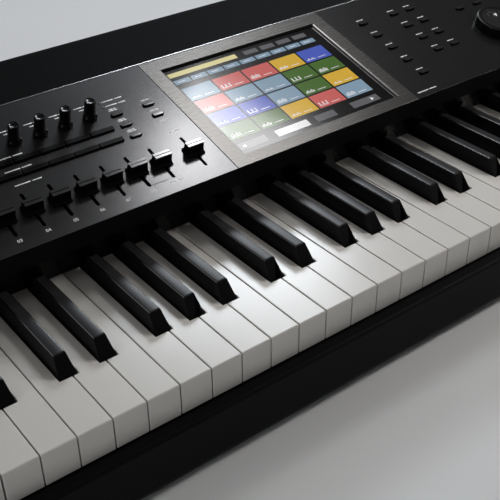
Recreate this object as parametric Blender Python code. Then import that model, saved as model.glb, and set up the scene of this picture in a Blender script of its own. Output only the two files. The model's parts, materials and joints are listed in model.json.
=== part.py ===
"""Music workstation: 73 weighted keys, a sloping control panel and a colour touch display.

Metres, +Z up. X runs along the keys to the right, Y from the key fronts to the back.
The origin is under the middle of the instrument, on the surface that it stands on.
"""

import itertools
import math

import bmesh
import bpy
from mathutils import Matrix, Vector

# Clearances
GAP = 0.0003  # between faces that touch
SLIDE_GAP = 0.0004  # round a moving cap, stem or shaft

# Whole instrument
DEPTH = 0.410
FOOT_HEIGHT = 0.008
PLATE = 0.002
SHEET = 0.002
CHEEK = 0.012
SHELL = 0.0025
BLOCK_RISE = 0.006  # end blocks above the white key tops
BLOCK_ROUND = 0.005
FACET = 0.3  # share of a round that its middle point is set in
LEFT_BLOCK = 0.150  # left end to the first key
RIGHT_BLOCK = 0.0775  # last key to the right end

# Keys
KEY_TOP_Z = 0.0712
KEY_PITCH = 0.0235
KEY_GAP = 0.0009
NATURALS = 43
SINGLE_NATURALS = 3  # the lowest naturals, and the sharps beside them, are hung one by one
LETTERS = "EFGABCD"
SHARP_SHIFT = {"C": -0.00235, "D": 0.00235, "F": -0.00336, "G": 0.0, "A": 0.00336}
KEY_FRONT_HEIGHT = 0.0244
KEY_BOX_DEPTH = 0.026
KEY_THICKNESS = 0.016
KEY_EDGE = 0.0012
SHARP_SETBACK = 0.0488
SHARP_FRONT_SLOPE = 0.0096
SHARP_BACK_SLOPE = 0.0052
SHARP_LENGTH = 0.0952
SHARP_HEIGHT = 0.0121
SHARP_FOOT = 0.0008  # where the cap's sides start to lean in
SHARP_ROOT = 0.002  # cap below the white key tops
SHARP_BASE = 0.0125
SHARP_TOP = 0.0082
SHARP_STEM = 0.010
SHARP_PLAY = 0.0006
SHARP_CLEAR = 0.001  # natural's head to the sharp's front
PIVOT_SETBACK = 0.218
PIVOT_RADIUS = 0.002
KEY_DIP = 0.010
TAIL = 0.003  # key behind its pivot
BAR_GAP = 0.001
BAR_DEPTH = 0.010
BAR_HEIGHT = 0.0045

# Key slip and the rails under the keys
SLIP_DEPTH = 0.0103
SLIP_GAP = 0.0012
SLIP_EDGE = 0.002
LEDGE_DEPTH = 0.026
LEDGE_THICKNESS = 0.004
LEDGE_GAP = 0.0004
RAIL_FOOT = 0.030
RAIL_SHELF = 0.058
CONTACT_DEPTH = 0.036
CONTACT_RIDGE = 0.010
CONTACT_RIDGE_WIDTH = 0.009
CONTACT_SETBACK = 0.036  # pivot back to the middle of the contact board
CONTACT_GAP = 0.0006
BOARD = 0.0016

# Control panel, measured along its slope from the front edge
PANEL_TILT = math.radians(14.9)
PANEL_DEPTH = 0.143
LIP_SETBACK = 0.1331
LIP_RISE = 0.040
LIP_HEIGHT = 0.0145
BEZEL_X = -0.0395
BEZEL_WIDTH = 0.192
FALL_DROP = 0.0242
FALL_LEAN = 0.0102
FALL_SHEET = 0.0025
FALL_FLANGE = 0.008

# Display
WINDOW_WIDTH = 0.165
WINDOW_START = 0.0112
WINDOW_END = 0.0148  # window to the panel's rear edge
WINDOW_CHAMFER = 0.0016
GLASS_BORDER = 0.004
GLASS = 0.0018
MODULE = 0.009
TRAY_WALL = 0.0025

# Knobs, sliders and buttons
COLUMNS = 8
COLUMN_PITCH = 0.021
LAST_COLUMN = 0.0694  # bezel's left edge back to the last column
MASTER_COLUMN = 0.0484
VALUE_COLUMN = 0.0196
KNOB_ROW = 0.0998
KNOB_PROFILE = ((0.0059, 0.0006), (0.0059, 0.0030), (0.0047, 0.0042), (0.0041, 0.0168), (0.0034, 0.0175))
KNOB_SHAFT = 0.003
KNOB_SIDES = 14
SHAFT_DROP = 0.006
SLOT_ROW = 0.0317
SLOT_WIDTH = 0.0026
SLOT_END = 0.0009  # slot beyond the stem at the end of its travel
SLIDER_TRAVEL = 0.015  # to each side of the middle
STEM_LENGTH = 0.004
CARRIAGE_HALF = (0.004, 0.005)
CARRIAGE_HEIGHT = 0.003
CAP_LEVELS = (
    (0.0008, 0.0068, 0.0062),
    (0.0014, 0.0068, 0.0054),
    (0.0020, 0.0063, 0.0034),
    (0.0026, 0.0071, 0.0031),
    (0.0082, 0.0071, 0.0025),
    (0.0090, 0.0069, 0.0021),
)
STRIP_ROWS = (0.0674, 0.0812)
STRIP_HEIGHT = 0.0046
STRIP_SPLIT = 0.0008
BUTTON_TRAVEL = 0.0012
BUTTON_REST = 0.0004  # pressed cap above the panel
PILL = (0.0100, 0.0044)
PILL_CORNER = 0.0016
PILL_ROWS = (0.0669, 0.0807, 0.0945)
WEB = 0.0015
WEB_BORDER = 0.004

# Right side of the panel, from the bezel's right edge
PAGE_COLUMN = 0.031
PAGE_ROWS = (0.0267, 0.0470, 0.0673, 0.0876, 0.1079)
MODE_COLUMNS = (0.070, 0.091)
BANK_COLUMN = 0.210
BANK_COUNT = 7
BANK_PITCH = 0.020
BANK_ROWS = (0.108, 0.124)
TRANSPORT_COLUMN = 0.292
TRANSPORT_COUNT = 5
DIAL_COLUMN = 0.152
DIAL_ROW = 0.050
DIAL_RADIUS = 0.021
DIAL_HEIGHT = 0.0085
DIAL_RIM = 0.0042
DIAL_DISH = 0.0008
DIAL_EDGE = 0.0014
DIAL_SHAFT = 0.003
DIMPLE_RADIUS = 0.008
DIMPLE_DEPTH = 0.0015
DIMPLE_OFFSET = 0.009
DIAL_BUTTONS = (-0.012, 0.012)
KEYPAD_COLUMN = 0.210
KEYPAD_ROW = 0.0267
KEYPAD_PITCH = (0.018, 0.0165)
KEYPAD_CAP = (0.0125, 0.0075)

# Controller block beside the lowest key
STICK_SETBACK = 0.072  # behind the key fronts
STICK_OPENING = 0.017
STICK_PIVOT_DROP = 0.014  # below the top of the block
DOME_RADIUS = 0.0185
DOME_SPAN = math.radians(66)
DOME_WALL = 0.002
STICK_SHAFT = 0.0032
STICK_PROFILE = ((0.0032, 0.024), (0.0060, 0.030), (0.0078, 0.038), (0.0070, 0.042), (0.0030, 0.0435))
STICK_PIN = 0.0016
STICK_TAIL = 0.007
GIMBAL_INNER = 0.0085
GIMBAL_OUTER = 0.0120
GIMBAL_HEIGHT = 0.006
GIMBAL_PIN = 0.0018
GIMBAL_PIN_END = 0.0240
EAR = 0.0035
EAR_WIDTH = 0.010
EAR_DROP = 0.005
ROUND_SIDES = 16
SWITCH_SETBACK = 0.112
SWITCH_SPREAD = 0.044
SWITCH_CAP = (0.018, 0.009)

# Back
DECK_STEP = 0.003
DECK_REAR_Z = 0.126
DECK_LIP = 0.008
REAR_INSET = 0.0015
REAR_SHEET = 0.0015
POWER_BAR = 0.103  # right end to the left end of the power bar
INLET_INSET = 0.045  # from the right end
INLET = (0.024, 0.0165)
INLET_CORNER = 0.002
INLET_DEPTH = 0.0178
SWITCH_INSET = 0.085  # from the right end
ROCKER = (0.012, 0.019)
ROCKER_PIVOT = 0.004
ROCKER_REST = math.radians(7)
ROCKER_PLAY = 0.0012
JACKS = 7
JACK_PITCH = 0.032
JACK_BORE = 0.0033
DINS = 3
DIN_PITCH = 0.026
DIN_BORE = 0.0066
DIN_TO_PORT = 0.026
PORTS = 2
PORT_PITCH = 0.024
PORT = (0.0125, 0.0056)
PORT_CORNER = 0.0005
SOCKET_Z = 0.062
SOCKET_DEPTH = 0.022
SOCKET_HEIGHT = 0.028
SOCKET_BORDER = 0.012
SOCKET_FLOOR = 0.003
SOCKET_PROUD = 0.0006

# Inside
BOSS = 0.004
BOSS_HEIGHT = 0.006
MAIN_BOARD_WIDTH = 0.240
MAIN_BOARD_X = -0.100
MAIN_BOARD_FRONT = 0.0155  # clear of the pivot rail
MAIN_BOARD_REAR = 0.040  # from the rear edge
# Middle, width and depth as shares of the board, then the height
CHIPS = (
    (-0.25, -0.09, 0.15, 0.32, 0.003),
    (0.08, 0.14, 0.21, 0.13, 0.006),
    (0.31, -0.18, 0.08, 0.36, 0.012),
)
SUPPLY_WIDTH = 0.160
SUPPLY_HEIGHT = 0.034
SUPPLY_INSET = 0.219  # from the right end
SUPPLY_FRONT = 0.038  # clear of the pivot rail
SUPPLY_REAR = 0.0525  # from the rear edge

# Feet
FOOT_RADIUS = 0.015
FOOT_INSET = (0.070, 0.045)

# Places worked out from the sizes
WIDTH = LEFT_BLOCK + NATURALS * KEY_PITCH + RIGHT_BLOCK
LEFT_X = -WIDTH / 2
RIGHT_X = WIDTH / 2
FRONT_Y = -DEPTH / 2
REAR_Y = DEPTH / 2
BASE_Z = FOOT_HEIGHT
FLOOR_Z = BASE_Z + PLATE + GAP  # whatever stands on the bottom plate
KEYS_LEFT_X = LEFT_X + LEFT_BLOCK
KEYS_RIGHT_X = KEYS_LEFT_X + NATURALS * KEY_PITCH
KEY_FRONT_Y = FRONT_Y + SLIP_DEPTH + SLIP_GAP
KEY_LOW_Z = KEY_TOP_Z - KEY_THICKNESS
SLIP_TOP_Z = KEY_TOP_Z - KEY_FRONT_HEIGHT
NOTCH = SHARP_BASE + 2 * SHARP_PLAY
PIVOT_Y = KEY_FRONT_Y + PIVOT_SETBACK
PIVOT_Z = KEY_LOW_Z - GAP - PIVOT_RADIUS
KEY_ANGLE = math.asin(KEY_DIP / PIVOT_SETBACK)
BLOCK_TOP_Z = KEY_TOP_Z + BLOCK_RISE
LIP_Y = KEY_FRONT_Y + LIP_SETBACK
LIP_Z = KEY_TOP_Z + LIP_RISE
LIP_LOW_Z = LIP_Z - LIP_HEIGHT
PANEL_REAR_Y = LIP_Y + PANEL_DEPTH * math.cos(PANEL_TILT)
PANEL_REAR_Z = LIP_Z + PANEL_DEPTH * math.sin(PANEL_TILT)
WINDOW_DEPTH = PANEL_DEPTH - WINDOW_START - WINDOW_END
SLOT_LENGTH = 2 * SLIDER_TRAVEL + STEM_LENGTH + 2 * SLOT_END
BUTTON_RISE = BUTTON_TRAVEL + BUTTON_REST
BEZEL_LEFT_X = BEZEL_X - BEZEL_WIDTH / 2
BEZEL_RIGHT_X = BEZEL_X + BEZEL_WIDTH / 2
REAR_FACE_Y = REAR_Y - REAR_INSET
SOCKET_FACE_Y = REAR_FACE_Y + SOCKET_PROUD
SOCKET_LOW_Z = SOCKET_Z - SOCKET_HEIGHT / 2
SOCKET_HIGH_Z = SOCKET_Z + SOCKET_HEIGHT / 2
REAR_LEFT_X = LEFT_X + CHEEK + GAP
REAR_RIGHT_X = RIGHT_X - CHEEK - GAP
INLET_X = RIGHT_X - INLET_INSET
SWITCH_X = RIGHT_X - SWITCH_INSET
JACK_RIGHT_X = RIGHT_X - POWER_BAR - GAP
JACK_LEFT_X = JACK_RIGHT_X - 2 * SOCKET_BORDER - (JACKS - 1) * JACK_PITCH
DATA_RIGHT_X = JACK_LEFT_X - GAP
DATA_LENGTH = 2 * SOCKET_BORDER + (DINS - 1) * DIN_PITCH + DIN_TO_PORT + (PORTS - 1) * PORT_PITCH
DATA_LEFT_X = DATA_RIGHT_X - DATA_LENGTH
RAIL_REAR_Y = PIVOT_Y + RAIL_FOOT / 2
MAIN_BOARD_FRONT_Y = RAIL_REAR_Y + MAIN_BOARD_FRONT
MAIN_BOARD_REAR_Y = REAR_Y - MAIN_BOARD_REAR
MAIN_BOARD_LEFT_X = MAIN_BOARD_X - MAIN_BOARD_WIDTH / 2
MAIN_BOARD_RIGHT_X = MAIN_BOARD_X + MAIN_BOARD_WIDTH / 2
SUPPLY_X = RIGHT_X - SUPPLY_INSET
STICK_X = (LEFT_X + CHEEK + KEYS_LEFT_X) / 2
STICK_Y = KEY_FRONT_Y + STICK_SETBACK
STICK_Z = BLOCK_TOP_Z - STICK_PIVOT_DROP

WORLD = Matrix.Identity(4)
# Panel frame: X along the keys, Y up the slope, Z out of the panel
PANEL = Matrix.Translation((0, LIP_Y, LIP_Z)) @ Matrix.Rotation(PANEL_TILT, 4, "X")


def material(name, colour, roughness, metallic=0.0):
    """A plain Principled material."""
    found = bpy.data.materials.get(name)
    if found:
        return found
    made = bpy.data.materials.new(name)
    made.use_nodes = True
    shader = made.node_tree.nodes["Principled BSDF"]
    shader.inputs["Base Color"].default_value = (*colour, 1.0)
    shader.inputs["Roughness"].default_value = roughness
    shader.inputs["Metallic"].default_value = metallic
    made.diffuse_color = (*colour, 1.0)
    return made


def panel_metal():
    return material("panel_metal", (0.10, 0.10, 0.11), 0.35, 0.8)


def bezel_metal():
    return material("bezel_metal", (0.22, 0.21, 0.20), 0.32, 0.9)


def painted_steel():
    return material("painted_steel", (0.03, 0.03, 0.03), 0.5, 0.2)


def case_plastic():
    return material("case_plastic", (0.02, 0.02, 0.022), 0.45)


def gloss_black():
    return material("gloss_black", (0.008, 0.008, 0.009), 0.12)


def ivory():
    return material("ivory", (0.80, 0.77, 0.73), 0.35)


def ebony():
    return material("ebony", (0.018, 0.018, 0.020), 0.40)


def control_plastic():
    return material("control_plastic", (0.012, 0.012, 0.013), 0.25)


def bare_steel():
    return material("bare_steel", (0.55, 0.56, 0.58), 0.35, 1.0)


def board_green():
    return material("board_green", (0.03, 0.16, 0.07), 0.5)


def rubber():
    return material("rubber", (0.02, 0.02, 0.02), 0.85)


def dark_glass():
    return material("dark_glass", (0.01, 0.01, 0.012), 0.05)


def make(name, mesh_maker, finish, frame=WORLD, origin=(0, 0, 0), smooth=False):
    """Turns a BMesh drawn in a frame into a named object whose origin is at a point of that frame."""
    mesh_maker.normal_update()
    bmesh.ops.recalc_face_normals(mesh_maker, faces=mesh_maker.faces)
    bmesh.ops.translate(mesh_maker, verts=mesh_maker.verts, vec=-Vector(origin))
    mesh = bpy.data.meshes.new(name)
    mesh_maker.to_mesh(mesh)
    mesh_maker.free()
    if smooth:
        mesh.shade_smooth()
        mesh.set_sharp_from_angle(angle=math.radians(35))
    obj = bpy.data.objects.new(name, mesh)
    obj.matrix_world = frame @ Matrix.Translation(origin)
    if finish:
        mesh.materials.append(finish)
    bpy.context.scene.collection.objects.link(obj)
    return obj


def combine(obj, tool_maker, operation, frame=WORLD):
    """Cuts a shape out of an object, or joins it to the object, with a Boolean modifier."""
    tool = make(f"{obj.name}_{operation.lower()}_{len(obj.modifiers)}", tool_maker, None, frame)
    tool.hide_render = True
    tool.display_type = "WIRE"
    modifier = obj.modifiers.new(operation.title(), "BOOLEAN")
    modifier.operation = operation
    modifier.solver = "EXACT"
    modifier.object = tool


def add_prism(bm, outline, low, high, axis="X"):
    """A closed prism: an outline in the two other axes, run from low to high along one axis."""
    places = {
        "X": lambda p, t: (t, p[0], p[1]),
        "Y": lambda p, t: (p[0], t, p[1]),
        "Z": lambda p, t: (p[0], p[1], t),
    }
    place = places[axis]
    start = [bm.verts.new(place(point, low)) for point in outline]
    end = [bm.verts.new(place(point, high)) for point in outline]
    bm.faces.new(start)
    bm.faces.new(end)
    for i in range(len(outline)):
        j = (i + 1) % len(outline)
        bm.faces.new((start[i], start[j], end[j], end[i]))


def block(x0, x1, y0, y1, z0, z1):
    """Low and high corners of a box."""
    return (x0, y0, z0), (x1, y1, z1)


def add_blocks(bm, blocks):
    """Fuses boxes that overlap or share faces into one closed surface, without inner faces."""
    cuts = [sorted({round(corner[axis], 7) for corners in blocks for corner in corners}) for axis in range(3)]
    cells = set()
    for low, high in blocks:
        spans = [
            range(cuts[axis].index(round(low[axis], 7)), cuts[axis].index(round(high[axis], 7)))
            for axis in range(3)
        ]
        cells.update(itertools.product(*spans))
    points = {}

    def vertex(index):
        if index not in points:
            points[index] = bm.verts.new([cuts[axis][index[axis]] for axis in range(3)])
        return points[index]

    for cell in sorted(cells):
        for axis, side in itertools.product(range(3), (0, 1)):
            beside = list(cell)
            beside[axis] += 2 * side - 1
            if tuple(beside) in cells:
                continue
            ring = []
            for step in ((0, 0), (1, 0), (1, 1), (0, 1)):
                index = list(cell)
                index[axis] += side
                index[(axis + 1) % 3] += step[0]
                index[(axis + 2) % 3] += step[1]
                ring.append(vertex(tuple(index)))
            bm.faces.new(ring)
    bmesh.ops.recalc_face_normals(bm, faces=bm.faces)
    bmesh.ops.dissolve_limit(bm, angle_limit=math.radians(1), verts=bm.verts, edges=bm.edges)


def add_turned(bm, profile, centre=(0, 0, 0), sides=ROUND_SIDES, turn=WORLD):
    """A closed turned shape. The profile is (radius, height) pairs from bottom to top, capped flat."""
    rings = []
    for radius, height in profile:
        ring = []
        for i in range(sides):
            angle = 2 * math.pi * i / sides
            point = turn @ Vector((radius * math.cos(angle), radius * math.sin(angle), height))
            ring.append(bm.verts.new(Vector(centre) + point))
        rings.append(ring)
    bm.faces.new(rings[0])
    bm.faces.new(rings[-1])
    for lower, upper in zip(rings, rings[1:]):
        for i in range(sides):
            j = (i + 1) % sides
            bm.faces.new((lower[i], lower[j], upper[j], upper[i]))


def add_cylinder(bm, centre, radius, start, end, axis="Z", sides=ROUND_SIDES):
    """A round bar along one axis, from start to end as measured from the centre."""
    quarter = math.pi / 2
    turns = {"X": Matrix.Rotation(quarter, 4, "Y"), "Y": Matrix.Rotation(-quarter, 4, "X"), "Z": WORLD}
    add_turned(bm, ((radius, start), (radius, end)), centre, sides, turns[axis])


def add_stack(bm, centre, levels):
    """Rectangles of (height, half width, half depth) joined into one closed upright shape."""
    rings = []
    for height, half_x, half_y in levels:
        corners = ((-1, -1), (1, -1), (1, 1), (-1, 1))
        ring = [
            bm.verts.new((centre[0] + sx * half_x, centre[1] + sy * half_y, centre[2] + height))
            for sx, sy in corners
        ]
        rings.append(ring)
    bm.faces.new(rings[0])
    bm.faces.new(rings[-1])
    for lower, upper in zip(rings, rings[1:]):
        for i in range(4):
            j = (i + 1) % 4
            bm.faces.new((lower[i], lower[j], upper[j], upper[i]))


def rounded(centre, size, corner, grow=0.0):
    """Outline of a rectangle with cut corners, grown on every side."""
    half_x = size[0] / 2 + grow
    half_y = size[1] / 2 + grow
    points = []
    for sx, sy in ((1, 1), (-1, 1), (-1, -1), (1, -1)):
        pair = [(half_x, half_y - corner), (half_x - corner, half_y)]
        if sx * sy < 0:
            pair.reverse()
        points += [(centre[0] + sx * x, centre[1] + sy * y) for x, y in pair]
    return points


def letter(index):
    return LETTERS[index % len(LETTERS)]


def key_left(index):
    return KEYS_LEFT_X + index * KEY_PITCH


def has_sharp(index):
    """Whether a sharp stands at the right edge of this natural."""
    return 0 <= index < NATURALS - 1 and letter(index) in SHARP_SHIFT


def sharp_x(index):
    return key_left(index + 1) + SHARP_SHIFT[letter(index)]


def bar_level(level):
    """Lowest point of a key set's bar: the sets' bars lie above one another."""
    return KEY_TOP_Z - (level + 1) * BAR_HEIGHT - level * BAR_GAP


def tail_blocks(left, right, level):
    """The tab that ties one key to its set's bar."""
    low = bar_level(level)
    start = PIVOT_Y + TAIL
    return [block(left, right, start, start + BAR_GAP, low, low + BAR_HEIGHT)]


def natural_blocks(index, level=None):
    left = key_left(index) + KEY_GAP / 2
    right = key_left(index + 1) - KEY_GAP / 2
    neck_left = sharp_x(index - 1) + NOTCH / 2 if has_sharp(index - 1) else left
    neck_right = sharp_x(index) - NOTCH / 2 if has_sharp(index) else right
    box_end = KEY_FRONT_Y + KEY_BOX_DEPTH
    head_end = KEY_FRONT_Y + SHARP_SETBACK - SHARP_CLEAR
    blocks = [
        block(left, right, KEY_FRONT_Y, box_end, KEY_TOP_Z - KEY_FRONT_HEIGHT, KEY_TOP_Z),
        block(left, right, box_end, head_end, KEY_LOW_Z, KEY_TOP_Z),
        block(neck_left, neck_right, head_end, PIVOT_Y + TAIL, KEY_LOW_Z, KEY_TOP_Z),
    ]
    if level is not None:
        blocks += tail_blocks(neck_left, neck_right, level)
    return blocks


def sharp_blocks(index, level=None):
    x = sharp_x(index)
    front = KEY_FRONT_Y + SHARP_SETBACK
    back = front + SHARP_LENGTH
    root = KEY_TOP_Z - SHARP_ROOT
    foot = KEY_TOP_Z + SHARP_FOOT
    top = KEY_TOP_Z + SHARP_HEIGHT
    stem = block(x - SHARP_STEM / 2, x + SHARP_STEM / 2, front, PIVOT_Y + TAIL, KEY_LOW_Z, root)
    blocks = [
        stem,
        block(x - SHARP_BASE / 2, x + SHARP_BASE / 2, front, back, root, foot),
        block(x - SHARP_BASE / 2, x + SHARP_BASE / 2, front, back, foot, top),
    ]
    if level is not None:
        blocks += tail_blocks(stem[0][0], stem[1][0], level)
    return blocks


def bar_block(first_x, last_x, level):
    start = PIVOT_Y + TAIL + BAR_GAP
    low = bar_level(level)
    return block(first_x, last_x, start, start + BAR_DEPTH, low, low + BAR_HEIGHT)


def lean_sharps(bm, indexes):
    """Leans in the sides, front and back of the sharps' caps."""
    top = KEY_TOP_Z + SHARP_HEIGHT
    front = KEY_FRONT_Y + SHARP_SETBACK
    middle = front + SHARP_LENGTH / 2
    for vert in bm.verts:
        if abs(vert.co.z - top) > 1e-6:
            continue
        x = min((sharp_x(i) for i in indexes), key=lambda place: abs(place - vert.co.x))
        vert.co.x = x + math.copysign(SHARP_TOP / 2, vert.co.x - x)
        vert.co.y += SHARP_FRONT_SLOPE if vert.co.y < middle else -SHARP_BACK_SLOPE


def round_fronts(bm):
    """Rounds the top front edge of the naturals."""
    edges = [
        edge
        for edge in bm.edges
        if all(abs(v.co.y - KEY_FRONT_Y) < 1e-6 and abs(v.co.z - KEY_TOP_Z) < 1e-6 for v in edge.verts)
    ]
    bmesh.ops.bevel(bm, geom=edges, offset=KEY_EDGE, segments=2, profile=0.5, affect="EDGES")


def build_keys():
    """Five single keys, then three interleaved key sets, each moulded on its own rear bar."""
    origin = (0, PIVOT_Y, PIVOT_Z)
    naturals = range(SINGLE_NATURALS, NATURALS)
    for index in range(SINGLE_NATURALS):
        bm = bmesh.new()
        add_blocks(bm, natural_blocks(index))
        round_fronts(bm)
        make(f"key_{letter(index).lower()}", bm, ivory(), origin=origin)
        if not has_sharp(index):
            continue
        bm = bmesh.new()
        add_blocks(bm, sharp_blocks(index))
        lean_sharps(bm, [index])
        make(f"key_{letter(index).lower()}_sharp", bm, ebony(), origin=origin)
    for level, letters in enumerate(("CEGB", "DFA")):
        chosen = [i for i in naturals if letter(i) in letters]
        blocks = [piece for i in chosen for piece in natural_blocks(i, level)]
        blocks.append(bar_block(min(b[0][0] for b in blocks), max(b[1][0] for b in blocks), level))
        bm = bmesh.new()
        add_blocks(bm, blocks)
        round_fronts(bm)
        make(f"key_set_{letters.lower()}", bm, ivory(), origin=origin)
    chosen = [i for i in naturals if has_sharp(i)]
    blocks = [piece for i in chosen for piece in sharp_blocks(i, 2)]
    blocks.append(bar_block(sharp_x(chosen[0]), sharp_x(chosen[-1]), 2))
    bm = bmesh.new()
    add_blocks(bm, blocks)
    lean_sharps(bm, chosen)
    make("key_set_sharps", bm, ebony(), origin=origin)


def build_key_slip():
    """Front rail under the key fronts, with the ledge that stops the keys."""
    back = FRONT_Y + SLIP_DEPTH
    ledge = SLIP_TOP_Z - KEY_DIP - LEDGE_GAP
    outline = [
        (FRONT_Y, FLOOR_Z),
        (FRONT_Y, SLIP_TOP_Z - SLIP_EDGE),
        (FRONT_Y + SLIP_EDGE, SLIP_TOP_Z),
        (back, SLIP_TOP_Z),
        (back, ledge),
        (back + LEDGE_DEPTH, ledge),
        (back + LEDGE_DEPTH, ledge - LEDGE_THICKNESS),
        (back, ledge - LEDGE_THICKNESS),
        (back, FLOOR_Z),
    ]
    bm = bmesh.new()
    add_prism(bm, outline, KEYS_LEFT_X + GAP, KEYS_RIGHT_X - GAP)
    make("key_slip", bm, case_plastic())


def build_rails():
    """Pivot rail with a round top edge, and the contact board on its shelf."""
    contact_y = PIVOT_Y - CONTACT_SETBACK
    contact_top = KEY_LOW_Z - CONTACT_SETBACK * math.tan(KEY_ANGLE) - CONTACT_GAP
    shelf = contact_top - CONTACT_RIDGE
    steps = [math.pi * i / 6 for i in range(7)]
    arc = [(PIVOT_Y - PIVOT_RADIUS * math.cos(a), PIVOT_Z + PIVOT_RADIUS * math.sin(a)) for a in steps]
    outline = [
        (PIVOT_Y - RAIL_FOOT / 2, FLOOR_Z),
        (PIVOT_Y - RAIL_FOOT / 2, FLOOR_Z + SHEET),
        (PIVOT_Y - PIVOT_RADIUS, FLOOR_Z + SHEET),
        (PIVOT_Y - PIVOT_RADIUS, shelf - SHEET),
        (PIVOT_Y - RAIL_SHELF, shelf - SHEET),
        (PIVOT_Y - RAIL_SHELF, shelf),
        (PIVOT_Y - PIVOT_RADIUS, shelf),
        *arc,
        (PIVOT_Y + PIVOT_RADIUS, FLOOR_Z + SHEET),
        (PIVOT_Y + RAIL_FOOT / 2, FLOOR_Z + SHEET),
        (PIVOT_Y + RAIL_FOOT / 2, FLOOR_Z),
    ]
    bm = bmesh.new()
    add_prism(bm, outline, KEYS_LEFT_X + GAP, KEYS_RIGHT_X - GAP)
    make("key_pivot_rail", bm, bare_steel())
    low = shelf + GAP
    ridge = CONTACT_RIDGE_WIDTH / 2
    bm = bmesh.new()
    x0, x1 = KEYS_LEFT_X + GAP, KEYS_RIGHT_X - GAP
    front = contact_y - CONTACT_DEPTH / 2
    back = contact_y + CONTACT_DEPTH / 2 - PIVOT_RADIUS - GAP
    blocks = [
        block(x0, x1, front, back, low, low + BOARD),
        block(x0, x1, contact_y - ridge, contact_y + ridge, low + BOARD, contact_top),
    ]
    add_blocks(bm, blocks)
    make("key_contact_board", bm, board_green())


def side_outline(front_top):
    """Outline of the instrument's side, down to the bottom plate."""
    deck = PANEL_REAR_Z - DECK_STEP
    return [
        (FRONT_Y, FLOOR_Z),
        (FRONT_Y, front_top - BLOCK_ROUND),
        (FRONT_Y + BLOCK_ROUND * FACET, front_top - BLOCK_ROUND * FACET),
        (FRONT_Y + BLOCK_ROUND, front_top),
        (LIP_Y, front_top),
        (LIP_Y, LIP_Z),
        (PANEL_REAR_Y, PANEL_REAR_Z),
        (PANEL_REAR_Y, deck),
        (REAR_Y, DECK_REAR_Z),
        (REAR_Y, FLOOR_Z),
    ]


def build_cheeks():
    for name, low in (("left_end_cheek", LEFT_X), ("right_end_cheek", RIGHT_X - CHEEK)):
        bm = bmesh.new()
        add_prism(bm, side_outline(BLOCK_TOP_Z), low, low + CHEEK)
        make(name, bm, case_plastic())


def key_block(name, low, high):
    """Shell beside the keys: front, top and the riser under the panel's lip, open underneath."""
    riser_y = LIP_Y + SHEET + GAP
    riser_z = LIP_LOW_Z - GAP
    outline = [
        (FRONT_Y, FLOOR_Z),
        (FRONT_Y, BLOCK_TOP_Z - BLOCK_ROUND),
        (FRONT_Y + BLOCK_ROUND * FACET, BLOCK_TOP_Z - BLOCK_ROUND * FACET),
        (FRONT_Y + BLOCK_ROUND, BLOCK_TOP_Z),
        (riser_y, BLOCK_TOP_Z),
        (riser_y, riser_z + SHELL),
        (riser_y + SHELL, riser_z + SHELL),
        (riser_y + SHELL, FLOOR_Z),
    ]
    bm = bmesh.new()
    add_prism(bm, outline, low, high)
    obj = make(name, bm, case_plastic())
    hollow = bmesh.new()
    blocks = [
        block(
            low + SHELL,
            high - SHELL,
            FRONT_Y + 2 * SHELL,
            riser_y - SHELL / 2,
            FLOOR_Z - SHELL,
            BLOCK_TOP_Z - SHELL,
        )
    ]
    add_blocks(hollow, blocks)
    combine(obj, hollow, "DIFFERENCE")
    return obj


def build_key_blocks():
    left = LEFT_X + CHEEK + GAP
    right = KEYS_LEFT_X - GAP
    obj = key_block("controller_block", left, right)
    ears = bmesh.new()
    low = STICK_Z - EAR_DROP
    for side in (-1, 1):
        inner = STICK_Y + side * (GIMBAL_PIN_END - EAR)
        outer = STICK_Y + side * GIMBAL_PIN_END
        y0, y1 = sorted((inner, outer))
        add_blocks(
            ears,
            [block(STICK_X - EAR_WIDTH / 2, STICK_X + EAR_WIDTH / 2, y0, y1, low, BLOCK_TOP_Z - SHELL / 2)],
        )
    combine(obj, ears, "UNION")
    holes = bmesh.new()
    top = BLOCK_TOP_Z - STICK_Z
    add_turned(
        holes,
        ((STICK_OPENING - SHELL, top - 2 * SHELL), (STICK_OPENING, top + SHELL)),
        (STICK_X, STICK_Y, STICK_Z),
        24,
    )
    for x in switch_columns():
        outline = rounded((x, KEY_FRONT_Y + SWITCH_SETBACK), SWITCH_CAP, PILL_CORNER, SLIDE_GAP)
        add_prism(holes, outline, BLOCK_TOP_Z - 2 * SHELL, BLOCK_TOP_Z + SHELL, "Z")
    combine(obj, holes, "DIFFERENCE")
    pins = bmesh.new()
    reach = GIMBAL_PIN_END + SHELL
    add_cylinder(pins, (STICK_X, STICK_Y, STICK_Z), GIMBAL_PIN + GAP, -reach, reach, "Y", 12)
    combine(obj, pins, "DIFFERENCE")
    key_block("right_key_block", KEYS_RIGHT_X + GAP, RIGHT_X - CHEEK - GAP)


def switch_columns():
    return STICK_X - SWITCH_SPREAD / 2, STICK_X + SWITCH_SPREAD / 2


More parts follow.
